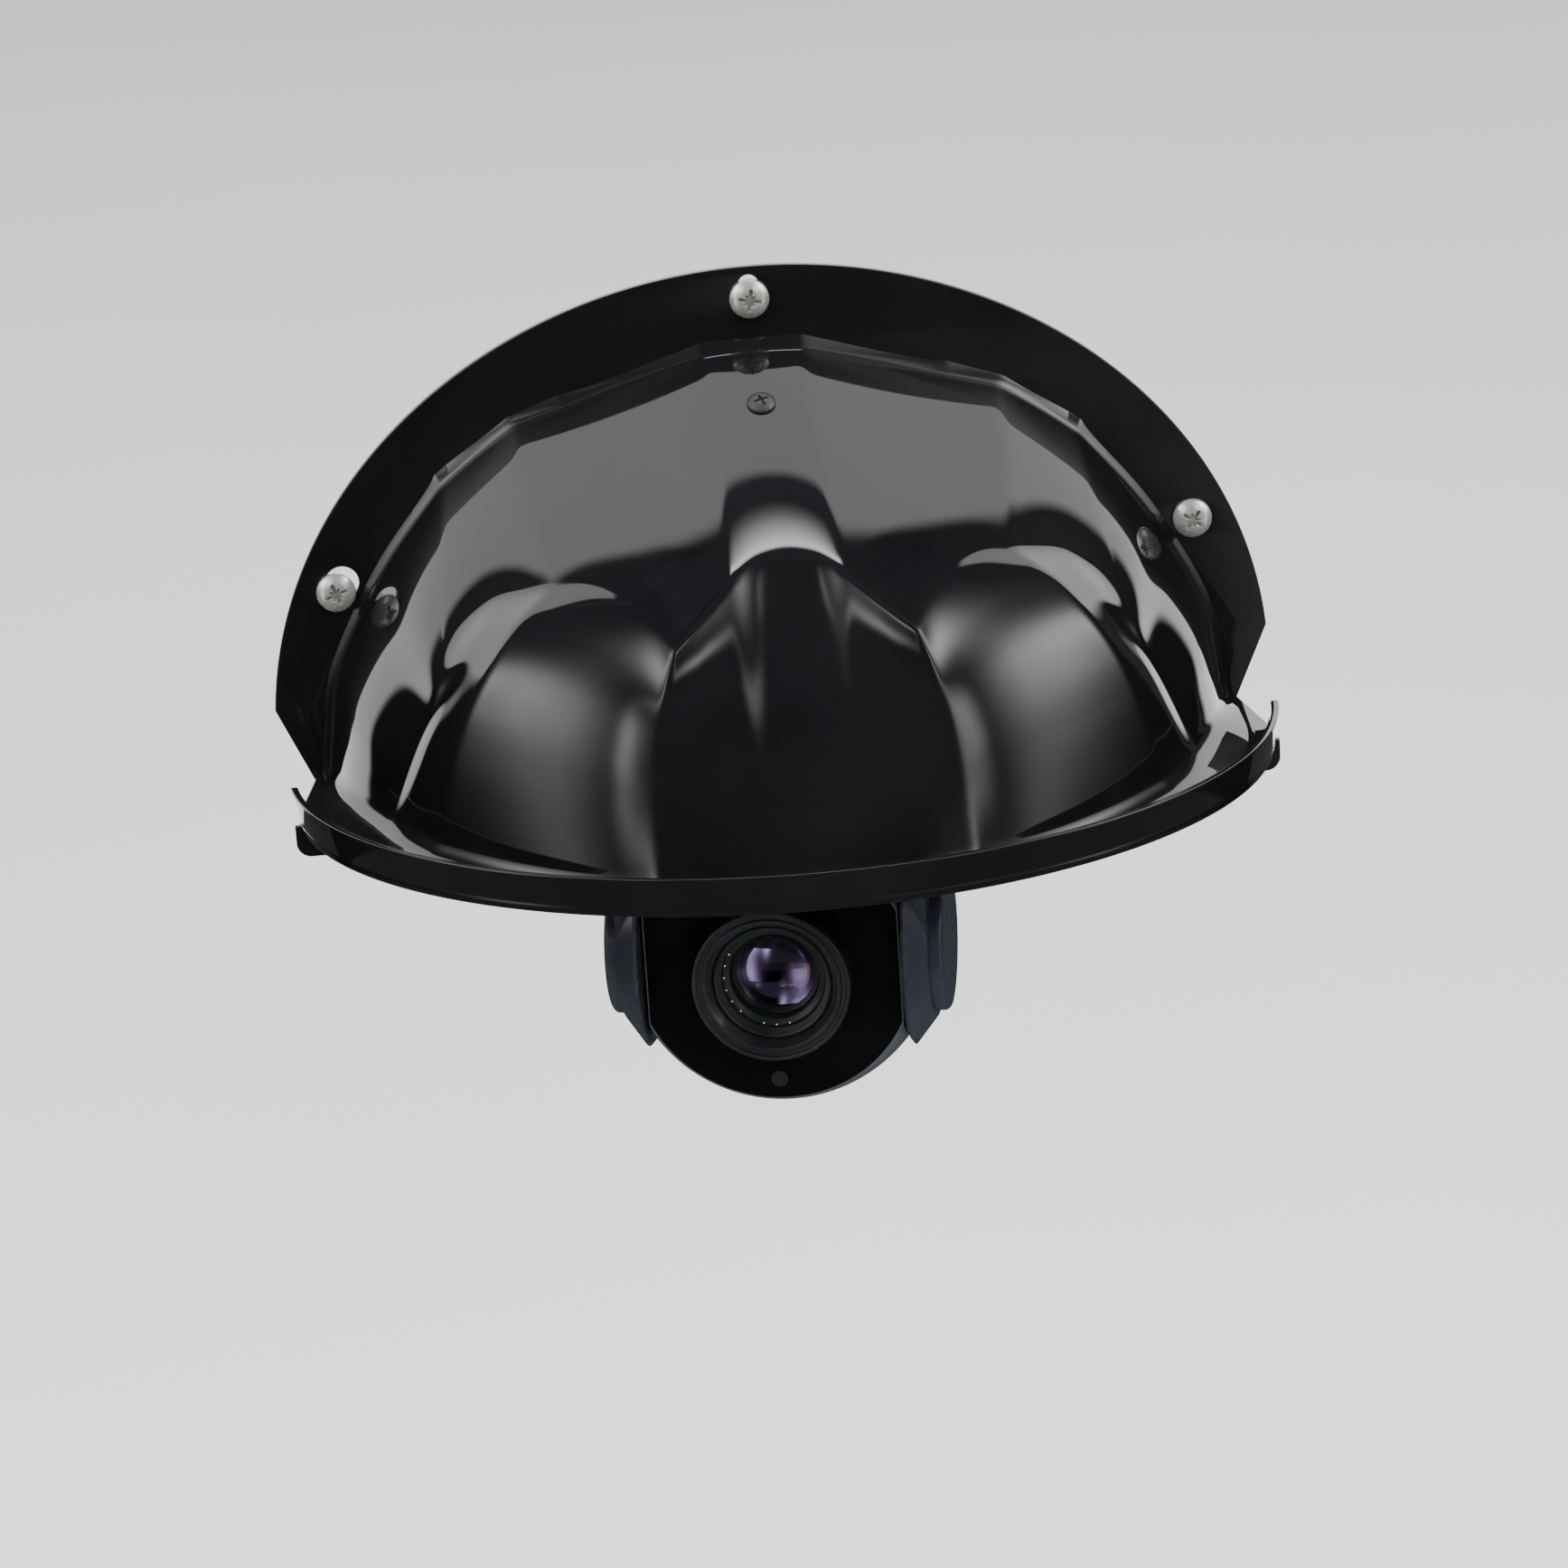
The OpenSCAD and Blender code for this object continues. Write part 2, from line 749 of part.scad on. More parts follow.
module head_front() {
    color([0.2, 0.21, 0.22]) tilt_frame() intersection() {
        union() {
            head_shell();
            // Ledge that the front plate rests on
            difference() {
                head_solid(ball_r - 0.5, head_w - 1);
                translate([-50, -50, -50]) cube([100, 50 + plate_y + plate_t, 100]);
                translate([-50, plate_y + plate_t + 2, -50]) cube([100, 100, 100]);
                to_front() translate([0, 0, -50]) cylinder(r = 25, h = 100);
                translate([0, 0, -sensor_drop]) to_front() cylinder(r = sensor_r + 0.2, h = 50);
            }
        }
        difference() {
            translate([-50, plate_y - 0.2, -50]) cube([100, split_y - plate_y + 0.2, 100]);
            translate([0, plate_y + plate_t, 0]) to_front() linear_extrude(10) plate_outline(0.15);
            to_right() translate([0, 0, -50]) cylinder(r = bush_r, h = 100);
        }
    }
}

module head_rear() {
    color([0.2, 0.21, 0.22]) tilt_frame() intersection() {
        difference() {
            head_shell();
            head_screw_places() {
                cylinder(r = 2.3, h = 10);
                translate([0, 0, -5]) cylinder(r = head_screw_r, h = 6);
            }
        }
        translate([-50, split_y, -50]) cube([100, 100, 100]);
    }
}

// Seats of the two screws at the back of the head
module head_screw_places() {
    for (x = [-1, 1]) translate([x * 16, 30.2, -14]) rotate([-90, 0, 0]) children();
}

module head_screws() {
    color("silver") tilt_frame() head_screw_places() pan_screw(1.9, 1, head_screw_r, 3, 0.9);
}

module plate_outline(grow) {
    intersection() {
        circle(r = plate_r + grow);
        square([head_w - 0.8 + 2 * grow, 100], center = true);
    }
}

module front_plate() {
    color([0.02, 0.02, 0.02]) tilt_frame() translate([0, plate_y + plate_t, 0]) to_front() difference() {
        linear_extrude(plate_t) plate_outline(0);
        translate([0, -lens_drop, -1]) cylinder(r = bezel_r - 1.2, h = 10);
        translate([0, -sensor_drop, -1]) cylinder(r = sensor_eye_r, h = 10);
    }
}

module lens_bezel() {
    color([0.12, 0.12, 0.12]) lens_frame() to_front() rotate_extrude() polygon([
        [bezel_r - 1.2, -plate_y - plate_t], [bezel_r - 1.2, -plate_y], [bezel_r, -plate_y],
        [bezel_r, -bezel_front_y - 0.8], [bezel_r - 0.8, -bezel_front_y], [bezel_r - 1.6, -bezel_front_y],
        [bezel_r - 2.2, -bezel_front_y - 1.2], [barrel_r + 1.2, -bezel_front_y - 1.2],
        [barrel_r, -bezel_front_y - 2.6], [barrel_r, -plate_y - plate_t]
    ]);
}

module lens_barrel() {
    color([0.1, 0.11, 0.1]) lens_frame() to_front() rotate_extrude() polygon([
        [12.4, -5], [barrel_r, -5], [barrel_r, 19.2], [barrel_r - 0.8, 19.8], [12.4, 17.2]
    ]);
}

module name_ring() {
    color([0.13, 0.16, 0.13]) lens_frame() to_front() rotate_extrude() polygon([
        [10.4, 13.2], [12.4, 13.2], [12.4, 16.4], [10.6, 15.4]
    ]);
}

module front_glass() {
    // The bulge of the front element over its rim
    color([0.35, 0.3, 0.5, 0.5]) lens_frame() to_front() intersection() {
        translate([0, 0, 13.2 - 12.6]) sphere(r = 16.4, $fn = 96);
        translate([0, 0, 12.2]) cylinder(r = 10.4, h = 8);
    }
}

module light_sensor() {
    color([0.1, 0.1, 0.1]) tilt_frame() translate([0, plate_y + plate_t, -sensor_drop]) to_front() {
        translate([0, 0, -1.5]) cylinder(r = sensor_r, h = 1.5);
        translate([0, 0, -0.1]) cylinder(r = sensor_eye_r, h = plate_t + 0.5);
    }
}

// Places of the four screws of the sensor board, at a distance behind the tilt axis
module board_screw_places(y) {
    for (x = [-1, 1], z = [-1, 1]) translate([x * 10.8, y, z * 10.8]) rotate([-90, 0, 0]) children();
}

// Block behind the lens, with four stand-offs for the board and a plate that carries the tilt motor
module lens_block() {
    color([0.09, 0.09, 0.1]) lens_frame() difference() {
        union() {
            translate([-block_w / 2, block_y, -block_w / 2]) cube([block_w, block_l, block_w]);
            board_screw_places(block_y + block_l - eps) cylinder(r = 1.6, h = standoff_h + eps);
            translate([-block_w / 2, block_y, block_w / 2 - eps]) cube([2, motor_plate_l, 10]);
        }
        translate([0, block_y - eps, 0]) rotate([-90, 0, 0]) cylinder(r = 10.9, h = 10);
        board_screw_places(block_y + block_l - 3) cylinder(r = board_screw_r, h = 10);
    }
}

module sensor_board() {
    color([0.05, 0.3, 0.15]) lens_frame() difference() {
        union() {
            translate([-board_w / 2, board_y, -board_w / 2]) cube([board_w, board_t, board_w]);
            translate([-5, board_y - standoff_h, -4]) cube([10, standoff_h + eps, 8]);
        }
        board_screw_places(board_y - 1) cylinder(r = board_screw_r, h = 5);
    }
}

module board_screws() {
    color("silver") lens_frame() board_screw_places(board_y + board_t)
        pan_screw(1.6, 1, board_screw_r, board_t + standoff_h + 2, 0.8);
}

// Flanged bushes in the head's flat sides; the shafts turn in them
module tilt_bushes() {
    color([0.85, 0.82, 0.7]) tilt_frame() for (side = [0, 1]) mirror([side, 0, 0]) to_right() {
        translate([0, 0, head_w / 2 - 4]) ring(bush_r, shaft_r + run_gap, 4);
        translate([0, 0, head_w / 2 - 4]) ring(bush_r + 1.5, shaft_r + run_gap, 1.8 - eps);
    }
}

module tilt_motor() {
    color([0.6, 0.6, 0.58]) tilt_frame() translate([0, tilt_motor_y, tilt_motor_z])
        mirror([1, 0, 0]) to_right() translate([0, 0, block_w / 2]) difference() {
            cylinder(r = tilt_motor_r, h = tilt_motor_h);
            translate([0, 0, tilt_motor_h - 5]) cylinder(r = tilt_shaft_pin_r + run_gap, h = 10);
        }
}

module tilt_belt() {
    color([0.08, 0.08, 0.08]) tilt_frame() mirror([1, 0, 0]) to_right()
        translate([0, 0, head_w / 2 - 8.2]) rotate([0, 0, atan2(tilt_motor_y, -tilt_motor_z)])
            belt(fixed_pulley_r, 3, norm([tilt_motor_y, tilt_motor_z]), 2.6);
}

module tilt_motor_pulley() {
    color([0.85, 0.75, 0.45]) tilt_frame() translate([0, tilt_motor_y, tilt_motor_z])
        mirror([1, 0, 0]) to_right() {
            translate([0, 0, head_w / 2 - 9]) cylinder(r = 3, h = 4);
            translate([0, 0, head_w / 2 - 9]) cylinder(r = 3.8, h = rim_t);
            translate([0, 0, block_w / 2 + tilt_motor_h - 4.5]) cylinder(r = tilt_shaft_pin_r, h = 9);
        }
}

// ---------- zoom ----------

module zoom_cam() {
    color([0.3, 0.3, 0.3]) lens_frame() to_front() difference() {
        translate([0, 0, -4.4]) ring(12, 9.4, 16);
        for (a = [0:120:240]) {
            rotate([0, 0, a]) translate([8, -1.2, 0]) cube([6, 2.4, 8]);
        }
    }
}

module zoom_group() {
    color([0.16, 0.16, 0.16]) lens_frame() to_front() translate([0, 0, -3]) ring(9, 6.9, 6);
}

module zoom_glass() {
    color([0.3, 0.28, 0.45, 0.5]) lens_frame() to_front() intersection() {
        translate([0, 0, 2.4 - 12]) sphere(r = 12.6, $fn = 72);
        translate([0, 0, -1]) cylinder(r = 6.9, h = 6);
    }
}

hood();
wall_screws();
roof_screw();
roof_nut();
wall_bracket();
bracket_screws();
base_lid();
base_gasket();
base_housing();
lid_screws();
cable_gland();
gland_nut();
main_board();
drive_plate();
pan_motor();
pan_belt();
pan_bearing_outer();
pan_motor_pulley();
yoke();
pan_bearing_inner();
bearing_balls();
pan_pulley();
pulley_screws();
ear_cover_left();
ear_cover_right();
tilt_shaft_left();
tilt_shaft_right();
shaft_nuts();
head_front();
head_rear();
head_screws();
front_plate();
lens_bezel();
lens_barrel();
name_ring();
front_glass();
light_sensor();
lens_block();
sensor_board();
board_screws();
tilt_bushes();
tilt_motor();
tilt_belt();
tilt_motor_pulley();
zoom_cam();
zoom_group();
zoom_glass();
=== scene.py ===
import json
import math

import bmesh
import bpy
import numpy as np
from mathutils import Matrix, Vector


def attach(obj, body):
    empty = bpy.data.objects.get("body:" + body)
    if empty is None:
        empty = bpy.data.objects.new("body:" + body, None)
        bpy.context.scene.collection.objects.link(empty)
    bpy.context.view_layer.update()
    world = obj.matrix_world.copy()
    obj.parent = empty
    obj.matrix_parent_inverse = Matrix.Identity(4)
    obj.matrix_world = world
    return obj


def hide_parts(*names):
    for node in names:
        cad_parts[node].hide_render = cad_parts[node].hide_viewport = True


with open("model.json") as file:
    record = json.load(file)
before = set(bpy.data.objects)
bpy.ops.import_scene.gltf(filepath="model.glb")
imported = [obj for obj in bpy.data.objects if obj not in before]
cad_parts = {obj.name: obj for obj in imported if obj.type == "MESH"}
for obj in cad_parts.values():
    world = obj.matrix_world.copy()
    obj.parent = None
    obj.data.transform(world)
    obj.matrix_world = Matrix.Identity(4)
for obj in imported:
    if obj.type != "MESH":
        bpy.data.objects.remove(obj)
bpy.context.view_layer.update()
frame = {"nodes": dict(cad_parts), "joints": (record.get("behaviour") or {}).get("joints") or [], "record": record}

MM = 0.001
JOINTS = {joint["name"]: joint for joint in frame["joints"]}

# ---------- frames ----------

TILT_POS = Vector(JOINTS["tilt"]["pos_m"])
TILT_AXIS = Vector(JOINTS["tilt"]["axis"])
# The head looks a little to one side at rest, and its lens sits below the tilt axis
REST_PAN = math.atan2(TILT_AXIS.y, TILT_AXIS.x)
LENS_DROP = 3 * MM

TO_FRONT = Matrix.Rotation(math.radians(90), 4, "X")      # +Z becomes -Y
TILT_FRAME = Matrix.Translation(TILT_POS) @ Matrix.Rotation(REST_PAN, 4, "Z")
LENS_FRAME = TILT_FRAME @ Matrix.Translation((0, 0, -LENS_DROP)) @ TO_FRONT


# ---------- camera ----------

CAMERA_AZIMUTH, CAMERA_ELEVATION, CAMERA_ROLL = -4, 20, -3.744      # degrees
CAMERA_DISTANCE = 1.6                                                # metres
CAMERA_TARGET = Vector((0.93, 0, -11.91)) * MM
FOCAL_LENGTH, SENSOR_WIDTH = 151.03, 36                              # mm


def facing(azimuth, elevation):
    """Direction from the object at an azimuth (0 is the front, 90 its right) and an elevation."""
    a, e = math.radians(azimuth), math.radians(elevation)
    return Vector((math.sin(a) * math.cos(e), -math.cos(a) * math.cos(e), math.sin(e)))


def make_camera():
    """Looks slightly down and from the left, with a small roll."""
    back = facing(CAMERA_AZIMUTH, CAMERA_ELEVATION)
    roll = math.radians(CAMERA_ROLL)
    right = Vector((0, 0, 1)).cross(back).normalized()
    up = back.cross(right)
    x_axis = math.cos(roll) * right + math.sin(roll) * up
    y_axis = -math.sin(roll) * right + math.cos(roll) * up
    data = bpy.data.cameras.new("camera")
    data.sensor_width = SENSOR_WIDTH
    data.lens = FOCAL_LENGTH
    data.clip_end = 50
    camera = bpy.data.objects.new("camera", data)
    turn = Matrix((x_axis, y_axis, back)).transposed().to_4x4()
    camera.matrix_world = Matrix.Translation(CAMERA_TARGET + CAMERA_DISTANCE * back) @ turn
    bpy.context.scene.collection.objects.link(camera)
    bpy.context.scene.camera = camera


# ---------- mesh tools ----------

def piece(name, verts, faces, slot, body, replaces=(), sharp=None, finish=None):
    """One smooth mesh object on a body, with its finish named by a slot of the record."""
    mesh = bpy.data.meshes.new(name)
    mesh.from_pydata([tuple(v) for v in verts], [], [tuple(f) for f in faces])
    work = bmesh.new()
    work.from_mesh(mesh)
    bmesh.ops.remove_doubles(work, verts=work.verts, dist=2e-6)
    bmesh.ops.recalc_face_normals(work, faces=work.faces)
    for face in work.faces:
        face.smooth = True
    if sharp is not None:
        for edge in work.edges:
            if edge.is_manifold and edge.calc_face_angle(0) > math.radians(sharp):
                edge.smooth = False
    work.to_mesh(mesh)
    work.free()
    obj = bpy.data.objects.new(name, mesh)
    bpy.context.scene.collection.objects.link(obj)
    obj.data.materials.append(MATERIALS[finish or slot])
    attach(obj, body)
    if replaces:
        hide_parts(*replaces)
    return obj


def join_shapes(*shapes):
    """Puts several (verts, faces) shapes into one."""
    verts, faces = [], []
    for shape_verts, shape_faces in shapes:
        start = len(verts)
        verts.extend(Vector(v) for v in shape_verts)
        faces.extend([i + start for i in face] for face in shape_faces)
    return verts, faces


def moved(shape, matrix):
    """A (verts, faces) shape put through a matrix."""
    return [matrix @ Vector(v) for v in shape[0]], shape[1]


def rounded(corners, steps=5):
    """Outline from (r, z, radius) corners, each turned into an arc of that radius, in mm."""
    out = []
    count = len(corners)
    for i, (x, y, radius) in enumerate(corners):
        here = Vector((x, y))
        if radius <= 0:
            out.append(here)
            continue
        before = Vector(corners[i - 1][:2]) - here
        after = Vector(corners[(i + 1) % count][:2]) - here
        turn = before.angle(after)
        cut = min(radius / math.tan(turn / 2), before.length * 0.48, after.length * 0.48)
        start, end = here + before.normalized() * cut, here + after.normalized() * cut
        for k in range(steps + 1):
            t = k / steps
            out.append((1 - t) ** 2 * start + 2 * t * (1 - t) * here + t ** 2 * end)
    return out


def lathe(outline, steps=96):
    """Turns a closed outline of (r, z) points, in mm, about Z. Points on the axis become one vertex."""
    verts, faces, rings = [], [], []
    for r, z in outline:
        if r < 1e-4:
            rings.append([len(verts)] * steps)
            verts.append(Vector((0, 0, z)) * MM)
            continue
        start = len(verts)
        rings.append([start + k for k in range(steps)])
        for k in range(steps):
            a = 2 * math.pi * k / steps
            verts.append(Vector((r * math.cos(a), r * math.sin(a), z)) * MM)
    for ring, following in zip(rings, rings[1:] + rings[:1]):
        for k in range(steps):
            n = (k + 1) % steps
            face = []
            for index in (ring[k], ring[n], following[n], following[k]):
                if index not in face:
                    face.append(index)
            if len(face) > 2:
                faces.append(face)
    return verts, faces


def spline(points, count):
    """Catmull-Rom curve through the points, with count equal stretches by length."""
    p = np.array(points, float)
    if len(p) == 2:
        t = np.linspace(0, 1, count + 1)[:, None]
        return p[0] * (1 - t) + p[1] * t
    ends = np.vstack([2 * p[0] - p[1], p, 2 * p[-1] - p[-2]])
    fine = []
    for i in range(len(p) - 1):
        a, b, c, d = ends[i:i + 4]
        for t in np.linspace(0, 1, 24, endpoint=False):
            fine.append(0.5 * (2 * b + (c - a) * t + (2 * a - 5 * b + 4 * c - d) * t ** 2
                               + (3 * b - a - 3 * c + d) * t ** 3))
    fine.append(p[-1])
    fine = np.array(fine)
    walked = np.concatenate([[0], np.cumsum(np.linalg.norm(np.diff(fine, axis=0), axis=1))])
    wanted = np.linspace(0, walked[-1], count + 1)
    return np.stack([np.interp(wanted, walked, fine[:, k]) for k in range(3)], 1)


# ---------- materials ----------

def material(name, roughness, colour, metallic=0.0, specular=0.5):
    """A new material with its shader, and an object-coordinate source for its textures."""
    mat = bpy.data.materials.new(name)
    mat.use_nodes = True
    tree = mat.node_tree
    shader = tree.nodes["Principled BSDF"]
    shader.inputs["Base Color"].default_value = (*colour, 1)
    shader.inputs["Roughness"].default_value = roughness
    shader.inputs["Metallic"].default_value = metallic
    shader.inputs["Specular IOR Level"].default_value = specular
    coords = tree.nodes.new("ShaderNodeTexCoord")
    return mat, tree, shader, coords.outputs["Object"]


def noise(tree, source, per_mm, detail=3.0, stretch=(1, 1, 1)):
    """Noise with about per_mm features to the millimetre, stretched along an axis if asked."""
    mapping = tree.nodes.new("ShaderNodeMapping")
    mapping.inputs["Scale"].default_value = stretch
    texture = tree.nodes.new("ShaderNodeTexNoise")
    texture.inputs["Scale"].default_value = per_mm / MM
    texture.inputs["Detail"].default_value = detail
    tree.links.new(source, mapping.inputs["Vector"])
    tree.links.new(mapping.outputs["Vector"], texture.inputs["Vector"])
    return texture.outputs["Fac"]


def spread(tree, value, low, high, start=0.3, end=0.7):
    """Maps a noise value onto low..high."""
    node = tree.nodes.new("ShaderNodeMapRange")
    node.inputs["From Min"].default_value = start
    node.inputs["From Max"].default_value = end
    node.inputs["To Min"].default_value = low
    node.inputs["To Max"].default_value = high
    tree.links.new(value, node.inputs["Value"])
    return node.outputs["Result"]


def maths(tree, operation, *values):
    """Math node on one or two values, each a socket or a number."""
    node = tree.nodes.new("ShaderNodeMath")
    node.operation = operation
    for socket, value in zip(node.inputs, values):
        if isinstance(value, (int, float)):
            socket.default_value = value
        else:
            tree.links.new(value, socket)
    return node.outputs["Value"]


def mix_colours(tree, factor, first, second):
    """Colour that goes from first to second with a factor. Either may be a socket."""
    node = tree.nodes.new("ShaderNodeMix")
    node.data_type = "RGBA"
    tree.links.new(factor, node.inputs["Factor"])
    for socket, value in (("A", first), ("B", second)):
        target = [s for s in node.inputs if s.name == socket and s.type == "RGBA"][0]
        if isinstance(value, tuple):
            target.default_value = (*value, 1)
        else:
            tree.links.new(value, target)
    return [s for s in node.outputs if s.type == "RGBA"][0]


def bump(tree, shader, height, strength, distance):
    """Bump from a height value, over a distance in mm."""
    node = tree.nodes.new("ShaderNodeBump")
    node.inputs["Strength"].default_value = strength
    node.inputs["Distance"].default_value = distance * MM
    tree.links.new(height, node.inputs["Height"])
    tree.links.new(node.outputs["Normal"], shader.inputs["Normal"])


def edge_wear(tree, source, low=0.53, high=0.6):
    """Goes to 1 along outer edges, broken up by a noise."""
    geometry = tree.nodes.new("ShaderNodeNewGeometry")
    edges = spread(tree, geometry.outputs["Pointiness"], 0, 1, low, high)
    patches = spread(tree, noise(tree, source, 0.35), 0, 1, 0.45, 0.6)
    return maths(tree, "MULTIPLY", edges, patches)


def moulded(name, colour, rough=(0.3, 0.4), grain=0.12, grain_size=4.0, worn=0.35, specular=0.5):
    """Moulded plastic: fine grain, slight cloudiness in colour, lighter rubbed edges."""
    mat, tree, shader, source = material(name, rough[0], colour, specular=specular)
    cloudy = spread(tree, noise(tree, source, 0.06), 0, 1)
    lighter = tuple(min(1, c * 1.25 + 0.002) for c in colour)
    body = mix_colours(tree, cloudy, colour, lighter)
    rubbed = tuple(min(1, c * (1 + worn) + 0.02 * worn) for c in colour)
    result = mix_colours(tree, edge_wear(tree, source), body, rubbed)
    tree.links.new(result, shader.inputs["Base Color"])
    tree.links.new(spread(tree, noise(tree, source, 0.25), *rough), shader.inputs["Roughness"])
    bump(tree, shader, noise(tree, source, grain_size, 2), grain, 0.03)
    return mat


def gloss_black(name, colour, rough=(0.02, 0.05), ripple=0.02):
    """High gloss plastic: clear top, faint wipe marks in the roughness, a very slight long ripple."""
    mat, tree, shader, source = material(name, rough[0], colour, specular=0.55)
    cloudy = spread(tree, noise(tree, source, 0.03), 0, 1)
    lighter = tuple(c * 1.3 + 0.001 for c in colour)
    tree.links.new(mix_colours(tree, cloudy, colour, lighter), shader.inputs["Base Color"])
    wipes = noise(tree, source, 0.05, 4, (1, 0.35, 1))
    tree.links.new(spread(tree, wipes, *rough), shader.inputs["Roughness"])
    bump(tree, shader, noise(tree, source, 0.02, 1), ripple, 0.5)
    return mat


def metal(name, colour, rough, brushed=(1, 1, 1), metallic=1.0):
    """Metal with a brushed or turned grain, small stains and fine scratches."""
    mat, tree, shader, source = material(name, rough[0], colour, metallic=metallic)
    stain = spread(tree, noise(tree, source, 0.15), 0, 1)
    darker = tuple(c * 0.82 for c in colour)
    tree.links.new(mix_colours(tree, stain, colour, darker), shader.inputs["Base Color"])
    tree.links.new(spread(tree, noise(tree, source, 0.8, 4, brushed), *rough), shader.inputs["Roughness"])
    bump(tree, shader, noise(tree, source, 2.5, 3, brushed), 0.08, 0.02)
    return mat


def coated_steel(name, colour, worn):
    """Powder-coated or blackened steel: orange-peel surface, metal showing in small chips at the edges."""
    mat, tree, shader, source = material(name, 0.4, colour)
    chips = spread(tree, noise(tree, source, 0.35, 5), 0, 1, 0.62, 0.68)
    edges = maths(tree, "MULTIPLY", edge_wear(tree, source, 0.54, 0.62), chips)
    tree.links.new(mix_colours(tree, edges, colour, worn), shader.inputs["Base Color"])
    tree.links.new(edges, shader.inputs["Metallic"])
    tree.links.new(spread(tree, noise(tree, source, 0.3), 0.34, 0.5), shader.inputs["Roughness"])
    bump(tree, shader, noise(tree, source, 0.9, 2), 0.25, 0.05)
    return mat


def rubber(name, colour):
    """Matt rubber with dusty patches."""
    mat, tree, shader, source = material(name, 0.75, colour, specular=0.3)
    dust = spread(tree, noise(tree, source, 0.2, 5), 0, 0.5, 0.45, 0.75)
    tree.links.new(mix_colours(tree, dust, colour, (0.08, 0.078, 0.074)), shader.inputs["Base Color"])
    tree.links.new(spread(tree, noise(tree, source, 0.6), 0.65, 0.85), shader.inputs["Roughness"])
    bump(tree, shader, noise(tree, source, 1.5, 4), 0.3, 0.05)
    return mat


def circuit_board(name):
    """Green solder mask with copper tracks and small pads that show through."""
    mat, tree, shader, source = material(name, 0.3, (0.01, 0.09, 0.035))
    tracks = tree.nodes.new("ShaderNodeTexVoronoi")
    tracks.feature = "DISTANCE_TO_EDGE"
    tracks.distance = "EUCLIDEAN"
    tracks.inputs["Scale"].default_value = 0.35 / MM
    tree.links.new(source, tracks.inputs["Vector"])
    line = spread(tree, tracks.outputs["Distance"], 1, 0, 0.02, 0.05)
    pads = tree.nodes.new("ShaderNodeTexVoronoi")
    pads.inputs["Scale"].default_value = 0.6 / MM
    tree.links.new(source, pads.inputs["Vector"])
    pad = spread(tree, pads.outputs["Distance"], 1, 0, 0.13, 0.17)
    mask = mix_colours(tree, line, (0.008, 0.075, 0.03), (0.02, 0.16, 0.06))
    tree.links.new(mix_colours(tree, pad, mask, (0.6, 0.58, 0.5)), shader.inputs["Base Color"])
    tree.links.new(pad, shader.inputs["Metallic"])
    tree.links.new(spread(tree, noise(tree, source, 0.5), 0.25, 0.4), shader.inputs["Roughness"])
    bump(tree, shader, line, 0.3, 0.04)
    return mat


def coated_glass(name, tint, share):
    """A coated lens element: a tinted mirror that takes a share of the light and lets the rest through."""
    mat, tree, shader, source = material(name, 0.03, tint, metallic=1.0)
    shader.inputs["Alpha"].default_value = share
    smudge = noise(tree, source, 0.15, 4)
    tree.links.new(spread(tree, smudge, 0.02, 0.06), shader.inputs["Roughness"])
    paler = tuple(min(1, t * 1.1 + 0.05) for t in tint)
    tree.links.new(mix_colours(tree, spread(tree, smudge, 0, 1), tint, paler), shader.inputs["Base Color"])
    return mat


def make_materials():
    """Every slot of the record, and the finishes that only the lens uses."""
    return {
        "hood_gloss": gloss_black("hood_gloss", (0.0035, 0.0035, 0.0042)),
        "stainless": metal("stainless", (0.6, 0.585, 0.56), (0.2, 0.32), metallic=0.75),
        "black_steel": coated_steel("black_steel", (0.02, 0.02, 0.021), (0.4, 0.39, 0.37)),
        "zinc_steel": metal("zinc_steel", (0.66, 0.68, 0.7), (0.25, 0.4)),
        "bracket_steel": coated_steel("bracket_steel", (0.03, 0.03, 0.033), (0.45, 0.44, 0.42)),
        "base_plastic": moulded("base_plastic", (0.03, 0.031, 0.034)),
        "seal_rubber": rubber("seal_rubber", (0.015, 0.015, 0.015)),
        "gland_plastic": moulded("gland_plastic", (0.015, 0.015, 0.015), (0.4, 0.5), 0.2),
        "circuit_board": circuit_board("circuit_board"),
        "inner_steel": metal("inner_steel", (0.5, 0.5, 0.5), (0.28, 0.45), (1, 1, 0.1)),
        "belt_rubber": rubber("belt_rubber", (0.012, 0.012, 0.012)),
        "bearing_steel": metal("bearing_steel", (0.72, 0.72, 0.73), (0.06, 0.14)),
        "pulley_brass": metal("pulley_brass", (0.75, 0.56, 0.26), (0.2, 0.32), (1, 1, 6)),
        "yoke_plastic": moulded("yoke_plastic", (0.02, 0.022, 0.031), (0.24, 0.32), 0.07, 5, 0.25, 0.4),
        "pulley_nylon": moulded("pulley_nylon", (0.7, 0.68, 0.62), (0.35, 0.5), 0.1, 3, 0.1),
        "head_plastic": moulded("head_plastic", (0.05, 0.052, 0.058), (0.28, 0.38), 0.12, 5, 0.4, 0.35),
        "plate_gloss": gloss_black("plate_gloss", (0.0025, 0.0025, 0.003), (0.03, 0.06), 0.01),
        "bezel_plastic": moulded("bezel_plastic", (0.012, 0.013, 0.015), (0.2, 0.28), 0.04, 5, 0.1),
        "lens_black": moulded("lens_black", (0.01, 0.0135, 0.0115), (0.3, 0.42), 0.08, 6, 0.2),
        "coated_glass": coated_glass("coated_glass", (0.6, 0.5, 1.0), 0.3),
        "glass_pink": coated_glass("glass_pink", (1.0, 0.5, 0.66), 0.3),
        "glass_blue": coated_glass("glass_blue", (0.45, 0.6, 1.0), 0.45),
        "glass_red": coated_glass("glass_red", (0.9, 0.05, 0.04), 0.9),
        "sensor_window": gloss_black("sensor_window", (0.012, 0.012, 0.014), (0.12, 0.2)),
    }


